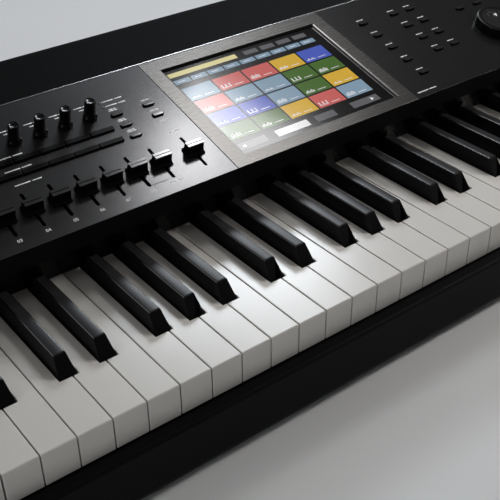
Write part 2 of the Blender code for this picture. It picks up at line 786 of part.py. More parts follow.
def build_controller():
    """Joystick on a two-axis gimbal, and the pair of switches behind it."""
    pivot = (STICK_X, STICK_Y, STICK_Z)
    bm = bmesh.new()
    half = GIMBAL_HEIGHT / 2
    add_turned(bm, ((GIMBAL_OUTER, -half), (GIMBAL_OUTER, half)), pivot)
    gimbal = make("joystick_gimbal", bm, bare_steel(), origin=pivot, smooth=True)
    pins = bmesh.new()
    add_cylinder(pins, pivot, GIMBAL_PIN, -GIMBAL_PIN_END, GIMBAL_PIN_END, "Y", 12)
    combine(gimbal, pins, "UNION")
    bore = bmesh.new()
    add_cylinder(bore, pivot, GIMBAL_INNER, -GIMBAL_HEIGHT, GIMBAL_HEIGHT)
    combine(gimbal, bore, "DIFFERENCE")
    cross = bmesh.new()
    reach = GIMBAL_OUTER + SHELL
    add_cylinder(cross, pivot, STICK_PIN + GAP, -reach, reach, "X", 12)
    combine(gimbal, cross, "DIFFERENCE")

    bm = bmesh.new()
    steps = [DOME_SPAN * k / 4 for k in range(1, 5)]
    hollow = DOME_RADIUS - DOME_WALL
    inner = [(hollow * math.sin(a), hollow * math.cos(a)) for a in steps]
    outer = [(DOME_RADIUS * math.sin(a), DOME_RADIUS * math.cos(a)) for a in reversed(steps)]
    shaft = [(STICK_SHAFT, -STICK_TAIL), (STICK_SHAFT, hollow)]
    profile = [*shaft, *inner, *outer, (STICK_SHAFT, DOME_RADIUS), *STICK_PROFILE]
    add_turned(bm, profile, pivot)
    stick = make("joystick", bm, control_plastic(), origin=pivot, smooth=True)
    pin = bmesh.new()
    add_cylinder(pin, pivot, STICK_PIN, -GIMBAL_OUTER, GIMBAL_OUTER, "X", 12)
    combine(stick, pin, "UNION")

    y = KEY_FRONT_Y + SWITCH_SETBACK
    under = BLOCK_TOP_Z - SHELL - GAP
    columns = switch_columns()
    bm = bmesh.new()
    web = block(
        columns[0] - SWITCH_CAP[0] / 2 - WEB_BORDER,
        columns[-1] + SWITCH_CAP[0] / 2 + WEB_BORDER,
        y - SWITCH_CAP[1] / 2 - WEB_BORDER,
        y + SWITCH_CAP[1] / 2 + WEB_BORDER,
        under - WEB,
        under,
    )
    add_blocks(bm, [web])
    switches = make("controller_switches", bm, rubber(), origin=(STICK_X, y, under))
    caps = bmesh.new()
    for x in columns:
        outline = rounded((x, y), SWITCH_CAP, PILL_CORNER)
        add_prism(caps, outline, under - WEB / 2, BLOCK_TOP_Z + BUTTON_RISE, "Z")
    combine(switches, caps, "UNION")


def column_x(index):
    """Place of one of the eight control columns."""
    return BEZEL_LEFT_X - LAST_COLUMN - (COLUMNS - 1 - index) * COLUMN_PITCH


def strip_outlines(grow=0.0):
    """Outlines of the two rows of strip buttons."""
    middle = (column_x(0) + column_x(COLUMNS - 1)) / 2
    size = (COLUMNS * COLUMN_PITCH - STRIP_SPLIT, STRIP_HEIGHT)
    return [rounded((middle, row), size, PILL_CORNER, grow) for row in STRIP_ROWS]


def slider_columns():
    names = [f"slider_{i + 1}" for i in range(COLUMNS)] + ["master_slider", "value_slider"]
    places = [column_x(i) for i in range(COLUMNS)]
    places += [BEZEL_LEFT_X - MASTER_COLUMN, BEZEL_LEFT_X - VALUE_COLUMN]
    return list(zip(names, places))


def left_pills():
    """Three buttons above the master slider and two above the value slider."""
    master = BEZEL_LEFT_X - MASTER_COLUMN
    value = BEZEL_LEFT_X - VALUE_COLUMN
    return [(master, row) for row in PILL_ROWS] + [(value, row) for row in PILL_ROWS[1:]]


def right_pills():
    """Page, mode, bank, transport and dial buttons."""
    places = [(PAGE_COLUMN, row) for row in PAGE_ROWS]
    places += [(column, row) for column in MODE_COLUMNS for row in PAGE_ROWS[1:]]
    places += [(BANK_COLUMN + i * BANK_PITCH, row) for i in range(BANK_COUNT) for row in BANK_ROWS]
    places += [(TRANSPORT_COLUMN + i * BANK_PITCH, PAGE_ROWS[0]) for i in range(TRANSPORT_COUNT)]
    places += [(DIAL_COLUMN + shift, PAGE_ROWS[3]) for shift in DIAL_BUTTONS]
    return [(BEZEL_RIGHT_X + x, row) for x, row in places]


def keypad_places():
    return [
        (BEZEL_RIGHT_X + KEYPAD_COLUMN + i * KEYPAD_PITCH[0], KEYPAD_ROW + j * KEYPAD_PITCH[1])
        for j in range(4)
        for i in range(3)
    ]


def panel_sheet(name, low, high, finish):
    """A length of the sloping panel with its upright front lip, drawn in the panel frame."""
    lean = Vector((-math.sin(PANEL_TILT), -math.cos(PANEL_TILT))) * LIP_HEIGHT
    inward = Vector((math.cos(PANEL_TILT), -math.sin(PANEL_TILT))) * SHEET
    corner = SHEET * (1 - math.sin(PANEL_TILT)) / math.cos(PANEL_TILT)
    outline = [
        (0, 0),
        (PANEL_DEPTH, 0),
        (PANEL_DEPTH, -SHEET),
        (corner, -SHEET),
        (lean.x + inward.x, lean.y + inward.y),
        (lean.x, lean.y),
    ]
    bm = bmesh.new()
    add_prism(bm, outline, low, high)
    return make(name, bm, finish, PANEL)


def build_panels():
    left = panel_sheet("left_control_panel", LEFT_X + CHEEK + GAP, BEZEL_LEFT_X - GAP / 2, panel_metal())
    depth = 3 * SHEET
    holes = bmesh.new()
    for index in range(COLUMNS):
        add_cylinder(holes, (column_x(index), KNOB_ROW, 0), KNOB_SHAFT + SLIDE_GAP, -depth, depth, sides=10)
    for outline in strip_outlines(SLIDE_GAP):
        add_prism(holes, outline, -depth, depth, "Z")
    for place in left_pills():
        add_prism(holes, rounded(place, PILL, PILL_CORNER, SLIDE_GAP), -depth, depth, "Z")
    for _, x in slider_columns():
        outline = rounded((x, SLOT_ROW), (SLOT_WIDTH, SLOT_LENGTH), SLOT_WIDTH / 3)
        add_prism(holes, outline, -depth, depth, "Z")
    combine(left, holes, "DIFFERENCE", PANEL)

    right = panel_sheet("right_control_panel", BEZEL_RIGHT_X + GAP / 2, RIGHT_X - CHEEK - GAP, panel_metal())
    holes = bmesh.new()
    for place in right_pills():
        add_prism(holes, rounded(place, PILL, PILL_CORNER, SLIDE_GAP), -depth, depth, "Z")
    for place in keypad_places():
        add_prism(holes, rounded(place, KEYPAD_CAP, PILL_CORNER, SLIDE_GAP), -depth, depth, "Z")
    dial = (BEZEL_RIGHT_X + DIAL_COLUMN, DIAL_ROW, 0)
    add_cylinder(holes, dial, DIAL_SHAFT + SLIDE_GAP, -depth, depth, sides=12)
    combine(right, holes, "DIFFERENCE", PANEL)


def build_display():
    """Bezel with its glass tray, the touch glass and the display module, in the panel frame."""
    bezel = panel_sheet("display_bezel", BEZEL_LEFT_X + GAP / 2, BEZEL_RIGHT_X - GAP / 2, bezel_metal())
    half_x = WINDOW_WIDTH / 2
    low = WINDOW_START
    high = WINDOW_START + WINDOW_DEPTH
    glass_top = -SHEET - GAP
    glass_low = glass_top - GLASS
    module_low = glass_low - GAP - MODULE
    border = GLASS_BORDER

    tray = bmesh.new()
    room = border + GAP
    inner = [BEZEL_X - half_x - room, BEZEL_X + half_x + room, low - room, high + room]
    outer = [
        inner[0] - TRAY_WALL,
        inner[1] + TRAY_WALL,
        inner[2] - TRAY_WALL,
        inner[3] + TRAY_WALL,
    ]
    walls = [
        block(outer[0], inner[0], outer[2], outer[3], module_low, -SHEET / 2),
        block(inner[1], outer[1], outer[2], outer[3], module_low, -SHEET / 2),
        block(inner[0], inner[1], outer[2], inner[2], module_low, -SHEET / 2),
        block(inner[0], inner[1], inner[3], outer[3], module_low, -SHEET / 2),
    ]
    add_blocks(tray, walls)
    combine(bezel, tray, "UNION", PANEL)
    window = bmesh.new()
    middle = (low + high) / 2
    levels = (
        (-2 * SHEET, half_x - WINDOW_CHAMFER, WINDOW_DEPTH / 2 - WINDOW_CHAMFER),
        (-SHEET, half_x - WINDOW_CHAMFER, WINDOW_DEPTH / 2 - WINDOW_CHAMFER),
        (0, half_x, WINDOW_DEPTH / 2),
        (SHEET, half_x, WINDOW_DEPTH / 2),
    )
    add_stack(window, (BEZEL_X, middle, 0), levels)
    combine(bezel, window, "DIFFERENCE", PANEL)

    x0, x1 = BEZEL_X - half_x - border, BEZEL_X + half_x + border
    bm = bmesh.new()
    add_blocks(bm, [block(x0, x1, low - border, high + border, glass_low, glass_top)])
    make("touch_glass", bm, dark_glass(), PANEL)
    bm = bmesh.new()
    add_blocks(bm, [block(x0, x1, low - border, high + border, module_low, glass_low - GAP)])
    make("display_module", bm, bare_steel(), PANEL)


def build_fallboard():
    """Glossy strip between the panel's lip and the keys, leaning back as it goes down."""
    top_y = LIP_Y + SHEET + GAP
    low_z = LIP_LOW_Z - FALL_DROP
    outline = [
        (top_y, LIP_LOW_Z + FALL_FLANGE),
        (top_y, LIP_LOW_Z),
        (top_y + FALL_LEAN, low_z),
        (top_y + FALL_LEAN + FALL_SHEET, low_z),
        (top_y + FALL_SHEET, LIP_LOW_Z),
        (top_y + FALL_SHEET, LIP_LOW_Z + FALL_FLANGE),
    ]
    bm = bmesh.new()
    add_prism(bm, outline, KEYS_LEFT_X + GAP, KEYS_RIGHT_X - GAP)
    make("fallboard", bm, gloss_black())


def build_knobs():
    for index in range(COLUMNS):
        origin = (column_x(index), KNOB_ROW, 0)
        bm = bmesh.new()
        profile = [(KNOB_SHAFT, -SHAFT_DROP), (KNOB_SHAFT, KNOB_PROFILE[0][1]), *KNOB_PROFILE]
        add_turned(bm, profile, origin, KNOB_SIDES)
        make(f"knob_{index + 1}", bm, control_plastic(), PANEL, origin, smooth=True)


def build_sliders():
    """Cap, stem through the slot and the carriage that holds it under the panel."""
    under = -SHEET - GAP
    stem = (SLOT_WIDTH / 2 - SLIDE_GAP, STEM_LENGTH / 2)
    levels = [
        (under - CARRIAGE_HEIGHT, *CARRIAGE_HALF),
        (under, *CARRIAGE_HALF),
        (under, *stem),
        (CAP_LEVELS[0][0], *stem),
        *CAP_LEVELS,
    ]
    for name, x in slider_columns():
        origin = (x, SLOT_ROW, 0)
        bm = bmesh.new()
        add_stack(bm, origin, levels)
        make(name, bm, control_plastic(), PANEL, origin)


def build_buttons():
    """Moulded button sets: caps through the panel on a web underneath it."""
    under = -SHEET - GAP
    low = under - WEB
    half = (COLUMN_PITCH - STRIP_SPLIT) / 2
    pills = left_pills()
    edge_x = PILL[0] / 2 + WEB_BORDER
    edge_y = PILL[1] / 2 + WEB_BORDER
    xs = [x for x, _ in pills]
    rows_low = min(STRIP_ROWS) - STRIP_HEIGHT / 2 - WEB_BORDER
    rows_high = max(STRIP_ROWS) + STRIP_HEIGHT / 2 + WEB_BORDER
    strip_left = column_x(0) - half - WEB_BORDER
    blocks = [
        block(strip_left, max(xs) + edge_x, rows_low, rows_high, low, under),
        block(min(xs) - edge_x, max(xs) + edge_x, rows_low, max(PILL_ROWS) + edge_y, low, under),
    ]
    bm = bmesh.new()
    add_blocks(bm, blocks)
    left = make("left_button_set", bm, rubber(), PANEL, (column_x(COLUMNS - 1), STRIP_ROWS[0], 0))
    caps = bmesh.new()
    for place in pills:
        add_prism(caps, rounded(place, PILL, PILL_CORNER), low + WEB / 2, BUTTON_RISE, "Z")
    for outline in strip_outlines():
        add_prism(caps, outline, low + WEB / 2, BUTTON_RISE, "Z")
    combine(left, caps, "UNION", PANEL)
    splits = bmesh.new()
    for index, row in itertools.product(range(COLUMNS - 1), STRIP_ROWS):
        x = column_x(index) + COLUMN_PITCH / 2
        low_y, high_y = row - STRIP_HEIGHT, row + STRIP_HEIGHT
        split = block(x - STRIP_SPLIT / 2, x + STRIP_SPLIT / 2, low_y, high_y, under, 2 * BUTTON_RISE)
        add_blocks(splits, [split])
    combine(left, splits, "DIFFERENCE", PANEL)

    pills = right_pills()
    keys = keypad_places()
    xs = [x for x, _ in pills]
    ys = [y for _, y in pills]
    bm = bmesh.new()
    x0, x1 = min(xs) - edge_x, max(xs) + edge_x
    add_blocks(bm, [block(x0, x1, min(ys) - edge_y, max(ys) + edge_y, low, under)])
    right = make("right_button_set", bm, rubber(), PANEL, (BEZEL_RIGHT_X + PAGE_COLUMN, PAGE_ROWS[0], 0))
    caps = bmesh.new()
    for place in pills:
        add_prism(caps, rounded(place, PILL, PILL_CORNER), low + WEB / 2, BUTTON_RISE, "Z")
    combine(right, caps, "UNION", PANEL)
    room = bmesh.new()
    web = keypad_web(keys)
    x0, x1 = web[0] - SLIDE_GAP, web[1] + SLIDE_GAP
    reach = 2 * WEB
    add_blocks(room, [block(x0, x1, min(ys) - PANEL_DEPTH, web[3] + SLIDE_GAP, low - reach, under + reach)])
    combine(right, room, "DIFFERENCE", PANEL)
    shaft = bmesh.new()
    dial = (BEZEL_RIGHT_X + DIAL_COLUMN, DIAL_ROW, 0)
    add_cylinder(shaft, dial, DIAL_SHAFT + SLIDE_GAP, low - reach, under + reach, sides=12)
    combine(right, shaft, "DIFFERENCE", PANEL)

    bm = bmesh.new()
    add_blocks(bm, [block(web[0], web[1], web[2], web[3], low, under)])
    keypad = make("keypad_set", bm, rubber(), PANEL, (keys[0][0], keys[0][1], 0))
    caps = bmesh.new()
    for place in keys:
        add_prism(caps, rounded(place, KEYPAD_CAP, PILL_CORNER), low + WEB / 2, BUTTON_RISE, "Z")
    combine(keypad, caps, "UNION", PANEL)


def keypad_web(keys):
    """Low x, high x, low y and high y of the keypad's web."""
    xs = [x for x, _ in keys]
    ys = [y for _, y in keys]
    edge_x = KEYPAD_CAP[0] / 2 + WEB_BORDER / 2
    edge_y = KEYPAD_CAP[1] / 2 + WEB_BORDER / 2
    return min(xs) - edge_x, max(xs) + edge_x, min(ys) - edge_y, max(ys) + edge_y


def build_dial():
    origin = (BEZEL_RIGHT_X + DIAL_COLUMN, DIAL_ROW, 0)
    profile = [
        (DIAL_SHAFT, -SHAFT_DROP),
        (DIAL_SHAFT, SLIDE_GAP),
        (DIAL_RADIUS, SLIDE_GAP),
        (DIAL_RADIUS, DIAL_HEIGHT - DIAL_EDGE),
        (DIAL_RADIUS - DIAL_EDGE, DIAL_HEIGHT),
        (DIAL_RADIUS - DIAL_RIM, DIAL_HEIGHT),
        (DIAL_RADIUS - DIAL_RIM - DIAL_DISH, DIAL_HEIGHT - DIAL_DISH),
    ]
    bm = bmesh.new()
    add_turned(bm, profile, origin, 24)
    dial = make("value_dial", bm, control_plastic(), PANEL, origin, smooth=True)
    ball = bmesh.new()
    bmesh.ops.create_icosphere(ball, subdivisions=2, radius=DIMPLE_RADIUS)
    lift = DIAL_HEIGHT + DIMPLE_RADIUS - DIMPLE_DEPTH - DIAL_DISH
    centre = Vector((origin[0], origin[1] + DIMPLE_OFFSET, lift))
    bmesh.ops.translate(ball, verts=ball.verts, vec=centre)
    combine(dial, ball, "DIFFERENCE", PANEL)


def build_rear_deck():
    """Vented cover behind the control panel, folded down over the back as far as the sockets."""
    front = PANEL_REAR_Y + GAP
    top = PANEL_REAR_Z - DECK_STEP
    slope = (DECK_REAR_Z - top) / (REAR_Y - front)
    flange = SOCKET_HIGH_Z + GAP
    outline = [
        (front, top),
        (REAR_Y, DECK_REAR_Z),
        (REAR_Y, flange),
        (REAR_Y - SHEET, flange),
        (REAR_Y - SHEET, DECK_REAR_Z - SHEET - slope * SHEET),
        (front + SHEET, top - SHEET + slope * SHEET),
        (front + SHEET, top - DECK_LIP),
        (front, top - DECK_LIP),
    ]
    bm = bmesh.new()
    add_prism(bm, outline, REAR_LEFT_X, REAR_RIGHT_X)
    make("rear_deck", bm, case_plastic())


def jack_places():
    return [JACK_RIGHT_X - SOCKET_BORDER - i * JACK_PITCH for i in range(JACKS)]


def din_places():
    return [DATA_RIGHT_X - SOCKET_BORDER - i * DIN_PITCH for i in range(DINS)]


def port_places():
    first = min(din_places()) - DIN_TO_PORT
    return [first - i * PORT_PITCH for i in range(PORTS)]


def build_rear_panel():
    """Steel back: full height beside the sockets, a low rail under them."""
    inner = REAR_FACE_Y - REAR_SHEET
    edge = DATA_LEFT_X - GAP
    bm = bmesh.new()
    add_blocks(bm, [block(REAR_LEFT_X, edge, inner, REAR_FACE_Y, FLOOR_Z, SOCKET_HIGH_Z)])
    make("rear_panel", bm, painted_steel())
    bm = bmesh.new()
    add_blocks(bm, [block(edge + GAP, REAR_RIGHT_X, inner, REAR_FACE_Y, FLOOR_Z, SOCKET_LOW_Z - GAP)])
    make("rear_rail", bm, painted_steel())


def socket_bar(name, left, right, pockets):
    """A bar of sockets behind one face, with its pockets cut from the rear."""
    back = REAR_FACE_Y - SOCKET_DEPTH
    bm = bmesh.new()
    add_blocks(bm, [block(left, right, back, SOCKET_FACE_Y, SOCKET_LOW_Z, SOCKET_HIGH_Z)])
    bar = make(name, bm, control_plastic())
    combine(bar, pockets, "DIFFERENCE")


def build_sockets():
    """Jack bar and data bar."""
    start = REAR_FACE_Y - SOCKET_DEPTH + SOCKET_FLOOR
    end = SOCKET_FACE_Y + SHEET
    bores = bmesh.new()
    for x in jack_places():
        add_cylinder(bores, (x, 0, SOCKET_Z), JACK_BORE, start, end, "Y", 12)
    socket_bar("jack_bar", JACK_LEFT_X, JACK_RIGHT_X, bores)
    bores = bmesh.new()
    for x in din_places():
        add_cylinder(bores, (x, 0, SOCKET_Z), DIN_BORE, start, end, "Y", 16)
    for x in port_places():
        add_prism(bores, rounded((x, SOCKET_Z), PORT, PORT_CORNER), start, end, "Y")
    socket_bar("data_bar", DATA_LEFT_X, DATA_RIGHT_X, bores)


def build_power():
    """Power bar with the mains inlet and the rocker switch's pocket, the rocker, and the supply."""
    end = SOCKET_FACE_Y + SHEET
    half = ROCKER[1] / 2
    pivot = (SWITCH_X, REAR_FACE_Y - ROCKER_PIVOT, SOCKET_Z)
    pockets = bmesh.new()
    outline = rounded((INLET_X, SOCKET_Z), INLET, INLET_CORNER)
    add_prism(pockets, outline, REAR_FACE_Y - INLET_DEPTH, end, "Y")
    half_x = ROCKER[0] / 2 + GAP
    half_z = half + ROCKER_PLAY
    floor = pivot[1] - ROCKER_PIVOT - ROCKER_PLAY
    hollow = block(SWITCH_X - half_x, SWITCH_X + half_x, floor, end, SOCKET_Z - half_z, SOCKET_Z + half_z)
    add_blocks(pockets, [hollow])
    socket_bar("power_bar", RIGHT_X - POWER_BAR, REAR_RIGHT_X, pockets)

    shape = [
        (-ROCKER_PIVOT, -half * 0.5),
        (-ROCKER_PIVOT, half * 0.5),
        (ROCKER_PIVOT - GAP, half),
        (ROCKER_PIVOT + 2 * GAP, 0),
        (ROCKER_PIVOT - GAP, -half),
    ]
    turned = []
    for out, up in shape:
        y = out * math.cos(ROCKER_REST) - up * math.sin(ROCKER_REST)
        z = out * math.sin(ROCKER_REST) + up * math.cos(ROCKER_REST)
        turned.append((pivot[1] + y, pivot[2] + z))
    bm = bmesh.new()
    add_prism(bm, turned, SWITCH_X - ROCKER[0] / 2, SWITCH_X + ROCKER[0] / 2)
    make("power_switch", bm, control_plastic(), origin=pivot)

    left, right = SUPPLY_X - SUPPLY_WIDTH / 2, SUPPLY_X + SUPPLY_WIDTH / 2
    front, back = RAIL_REAR_Y + SUPPLY_FRONT, REAR_Y - SUPPLY_REAR
    bm = bmesh.new()
    add_blocks(bm, [block(left, right, front, back, FLOOR_Z, FLOOR_Z + SUPPLY_HEIGHT)])
    make("power_supply", bm, bare_steel())


def board_corners():
    xs = (MAIN_BOARD_LEFT_X + BOSS, MAIN_BOARD_RIGHT_X - BOSS)
    ys = (MAIN_BOARD_FRONT_Y + BOSS, MAIN_BOARD_REAR_Y - BOSS)
    return list(itertools.product(xs, ys))


def build_bottom():
    """Bottom plate with the bosses that carry the main board, the board itself and four feet."""
    top = BASE_Z + PLATE
    blocks = [block(LEFT_X, RIGHT_X, FRONT_Y, REAR_Y, BASE_Z, top)]
    for x, y in board_corners():
        blocks.append(block(x - BOSS, x + BOSS, y - BOSS, y + BOSS, top, top + BOSS_HEIGHT))
    bm = bmesh.new()
    add_blocks(bm, blocks)
    make("bottom_plate", bm, painted_steel())

    low = top + BOSS_HEIGHT + GAP
    left, right, front, back = MAIN_BOARD_LEFT_X, MAIN_BOARD_RIGHT_X, MAIN_BOARD_FRONT_Y, MAIN_BOARD_REAR_Y
    blocks = [block(left, right, front, back, low, low + BOARD)]
    for x, y, width, depth, height in CHIPS:
        x0 = left + (right - left) * (0.5 + x - width / 2)
        y0 = front + (back - front) * (0.5 + y - depth / 2)
        x1 = x0 + (right - left) * width
        y1 = y0 + (back - front) * depth
        blocks.append(block(x0, x1, y0, y1, low + BOARD, low + BOARD + height))
    bm = bmesh.new()
    add_blocks(bm, blocks)
    make("main_board", bm, board_green())

    edge = FOOT_HEIGHT / 6
    profile = ((FOOT_RADIUS - 2 * edge, 0), (FOOT_RADIUS - edge, edge), (FOOT_RADIUS, FOOT_HEIGHT - GAP))
    half_x, half_y = RIGHT_X - FOOT_INSET[0], REAR_Y - FOOT_INSET[1]
    places = [(sx * half_x, sy * half_y) for sy in (-1, 1) for sx in (-1, 1)]
    for number, (x, y) in enumerate(places, 1):
        bm = bmesh.new()
        add_turned(bm, profile, (x, y, 0))
        make(f"rubber_foot_{number}", bm, rubber(), origin=(x, y, 0), smooth=True)


def main():
    for obj in list(bpy.data.objects):
        bpy.data.objects.remove(obj, do_unlink=True)
    build_bottom()
    build_key_slip()
    build_rails()
    build_keys()
    build_cheeks()
    build_key_blocks()
    build_controller()
    build_panels()
    build_display()
    build_fallboard()
    build_knobs()
    build_sliders()
    build_buttons()
    build_dial()
    build_rear_deck()
    build_rear_panel()
    build_sockets()
    build_power()


main()
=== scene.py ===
"""Dresses the music workstation: keys, sloping control panel, touch display and rear sockets."""

import functools
import itertools
import json
import math

import bmesh
import bpy
from mathutils import Matrix, Vector


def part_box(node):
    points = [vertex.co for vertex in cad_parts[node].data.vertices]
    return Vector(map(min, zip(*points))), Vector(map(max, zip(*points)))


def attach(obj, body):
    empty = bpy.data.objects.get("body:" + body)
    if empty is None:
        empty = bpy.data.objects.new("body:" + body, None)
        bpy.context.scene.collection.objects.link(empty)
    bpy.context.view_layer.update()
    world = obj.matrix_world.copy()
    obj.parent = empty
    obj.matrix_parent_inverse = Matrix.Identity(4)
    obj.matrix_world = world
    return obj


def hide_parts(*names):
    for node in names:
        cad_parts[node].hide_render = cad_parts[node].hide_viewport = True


bl_info = {
    "name": "Music workstation",
    "version": (1, 0, 0),
    "blender": (4, 5, 0),
    "location": "3D View > Sidebar > Workstation",
    "description": "Builds the finishes and fine pieces of a music workstation on its packed frame",
    "category": "Object",
}

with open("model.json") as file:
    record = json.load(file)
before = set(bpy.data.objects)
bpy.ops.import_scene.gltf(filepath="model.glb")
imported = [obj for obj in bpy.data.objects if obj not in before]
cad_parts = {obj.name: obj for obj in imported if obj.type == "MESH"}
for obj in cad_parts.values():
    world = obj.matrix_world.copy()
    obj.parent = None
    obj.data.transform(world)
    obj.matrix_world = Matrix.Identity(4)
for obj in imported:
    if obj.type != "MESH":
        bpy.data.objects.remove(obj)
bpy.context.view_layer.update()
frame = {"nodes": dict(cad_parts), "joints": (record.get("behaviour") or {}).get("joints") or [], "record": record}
NODES = frame["nodes"]
RECORD = frame["record"]
BODY_OF = {node: body for body, nodes in RECORD["behaviour"]["bodies"].items() for node in nodes}
SLOT_OF = {row["node"]: row["material_slot"] for row in RECORD["subparts"]}
AXIS_OF = {
    joint["child"]: Vector(joint["pos_m"]) for joint in frame["joints"] if joint["type"] == "hinge"
}

# Sloping control panel: X along the keys, Y up the slope, Z out of it
TILT = math.radians(14.9)
SHEET = 0.002
PANEL_LOW, PANEL_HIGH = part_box("display_bezel")
PANEL_RUN = PANEL_HIGH.y - SHEET * math.sin(TILT) - PANEL_LOW.y
PANEL_FOOT = Vector((0, PANEL_LOW.y, PANEL_HIGH.z - PANEL_RUN * math.tan(TILT)))
PANEL = Matrix.Translation(PANEL_FOOT) @ Matrix.Rotation(TILT, 4, "X")
WORLD = Matrix.Identity(4)
# Turned so that Z runs out of the rear panel
REAR = Matrix.Rotation(-math.pi / 2, 4, "X")

# Edges that fold more than this are rounded, and stay crisp in the shading
SHARP_ANGLE = math.radians(32)
# A normal that leans this far to a side belongs to an edge of the sheet
SIDE_LEAN = 0.6
# Steps of a quarter round
CORNER_STEPS = 4
KEY_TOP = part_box("key_e")[1].z
SHARP_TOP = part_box("key_f_sharp")[1].z
# Depth below the top that the chamfer of a sharp takes up
SHARP_CHAMFER = 0.0012

# Rows on the panel, up its slope
SLIDER_ROW = 0.0317
STRIP_ROWS = (0.0674, 0.0812)
PILL_ROWS = (0.0669, 0.0807, 0.0945)
NUMBER_ROW = 0.0093
KNOB_MARK_ROW = 0.1140
STRIP_MARK_ROWS = (0.0578, 0.0731, 0.0870)
LAMP_ROWS = (0.1065, 0.1122)
LAMP_COLUMN = -0.1889
LAMP_MARK_COLUMN = -0.1782
PAGE_ROWS = (0.0267, 0.0470, 0.0673, 0.0876, 0.1079)
BANK_ROWS = (0.108, 0.124)

# Buttons
STRIP = (0.0202, 0.0046)
PILL = (0.0100, 0.0044)
KEYPAD_CAP = (0.0125, 0.0075)
SWITCH_CAP = (0.018, 0.009)
CAP_RISE = 0.0016
CAP_ROOT = 0.003
WEB = 0.0014

# Columns to the right of the display, from the bezel's right edge
PAGE_COLUMN = 0.031
MODE_COLUMNS = (0.070, 0.091)
DIAL_SHIFTS = (-0.012, 0.012)
DIAL_COLUMN = 0.152
BANK_COLUMN = 0.210
BANK_PITCH = 0.020
TRANSPORT_COLUMN = 0.292
KEYPAD_PITCH = (0.018, 0.0165)

# Rear sockets
SOCKET_Z = 0.062
JACKS = [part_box("jack_bar")[1].x - 0.012 - 0.032 * i for i in range(7)]
ROUND_SOCKETS = [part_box("data_bar")[1].x - 0.012 - 0.026 * i for i in range(3)]
DATA_PORTS = [ROUND_SOCKETS[-1] - 0.026 - 0.024 * i for i in range(2)]
INLET_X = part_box("power_bar")[1].x - 0.0327

# Photograph's view: place, lens, then heading, pitch and roll in degrees
CAMERA_PLACE = (-0.5088, -0.5653, 0.4644)
CAMERA_LENS = 69.09
CAMERA_TURNS = (37.176, 34.232, -0.741)

# Name, place, aim, size, watts, spread in degrees and colour of each lamp
WARM, WARMER, PLAIN, COOL = (1.0, 0.98, 0.95), (1.0, 0.97, 0.94), (1.0, 1.0, 1.0), (0.88, 0.94, 1.0)
LAMPS = (
    ("key_light", (1.0, -0.45, 0.85), (0.02, -0.14, 0.07), (0.3, 0.3), 0.6, 60, WARM),
    ("overhead", (0.2, -0.4, 2.4), (0.0, -0.1, 0.0), (1.8, 1.8), 3.3, 180, WARMER),
    ("panel_light", (0.51, 0.40, 1.1), (-0.12, 0.0, 0.12), (0.33, 0.28), 2.6, 180, PLAIN),
    ("display_light", (0.45, 0.49, 1.1), (-0.1, 0.05, 0.14), (0.12, 0.12), 0.55, 180, PLAIN),
    ("back_light", (1.08, 1.64, 1.45), (-0.1, -0.15, 0.08), (0.7, 0.45), 19, 180, COOL),
    ("left_light", (-1.25, -0.31, 0.2), (-0.2, -0.2, 0.06), (0.3, 0.25), 0.24, 45, PLAIN),
    ("edge_light", (-0.72, 0.82, 1.0), (0.0, -0.1, 0.08), (0.6, 0.6), 1.6, 180, PLAIN),
)
WORLD_STRENGTH = 0.055
FLOOR_REACH = 6


class Signal:
    """A number that changes over a surface. Sums on it add Math nodes."""

    def __init__(self, finish, socket):
        self.finish = finish
        self.socket = socket

    def math(self, operation, first, second=0.0):
        return self.finish.node("ShaderNodeMath", {"operation": operation}, {0: first, 1: second})

    def __add__(self, other):
        return self.math("ADD", self, other)

    __radd__ = __add__

    def __sub__(self, other):
        return self.math("SUBTRACT", self, other)

    def __rsub__(self, other):
        return self.math("SUBTRACT", other, self)

    def __mul__(self, other):
        return self.math("MULTIPLY", self, other)

    __rmul__ = __mul__

    def __truediv__(self, other):
        return self.math("DIVIDE", self, other)

    def __gt__(self, other):
        return self.math("GREATER_THAN", self, other)

    def __lt__(self, other):
        return self.math("LESS_THAN", self, other)

    def __abs__(self):
        return self.math("ABSOLUTE", self)

    def repeat(self, pitch):
        """Runs from -0.5 to 0.5 over each pitch."""
        return self.math("FRACT", self / pitch) - 0.5


def shade(colour, factor):
    """A colour made darker or lighter."""
    return tuple(part * factor for part in colour)


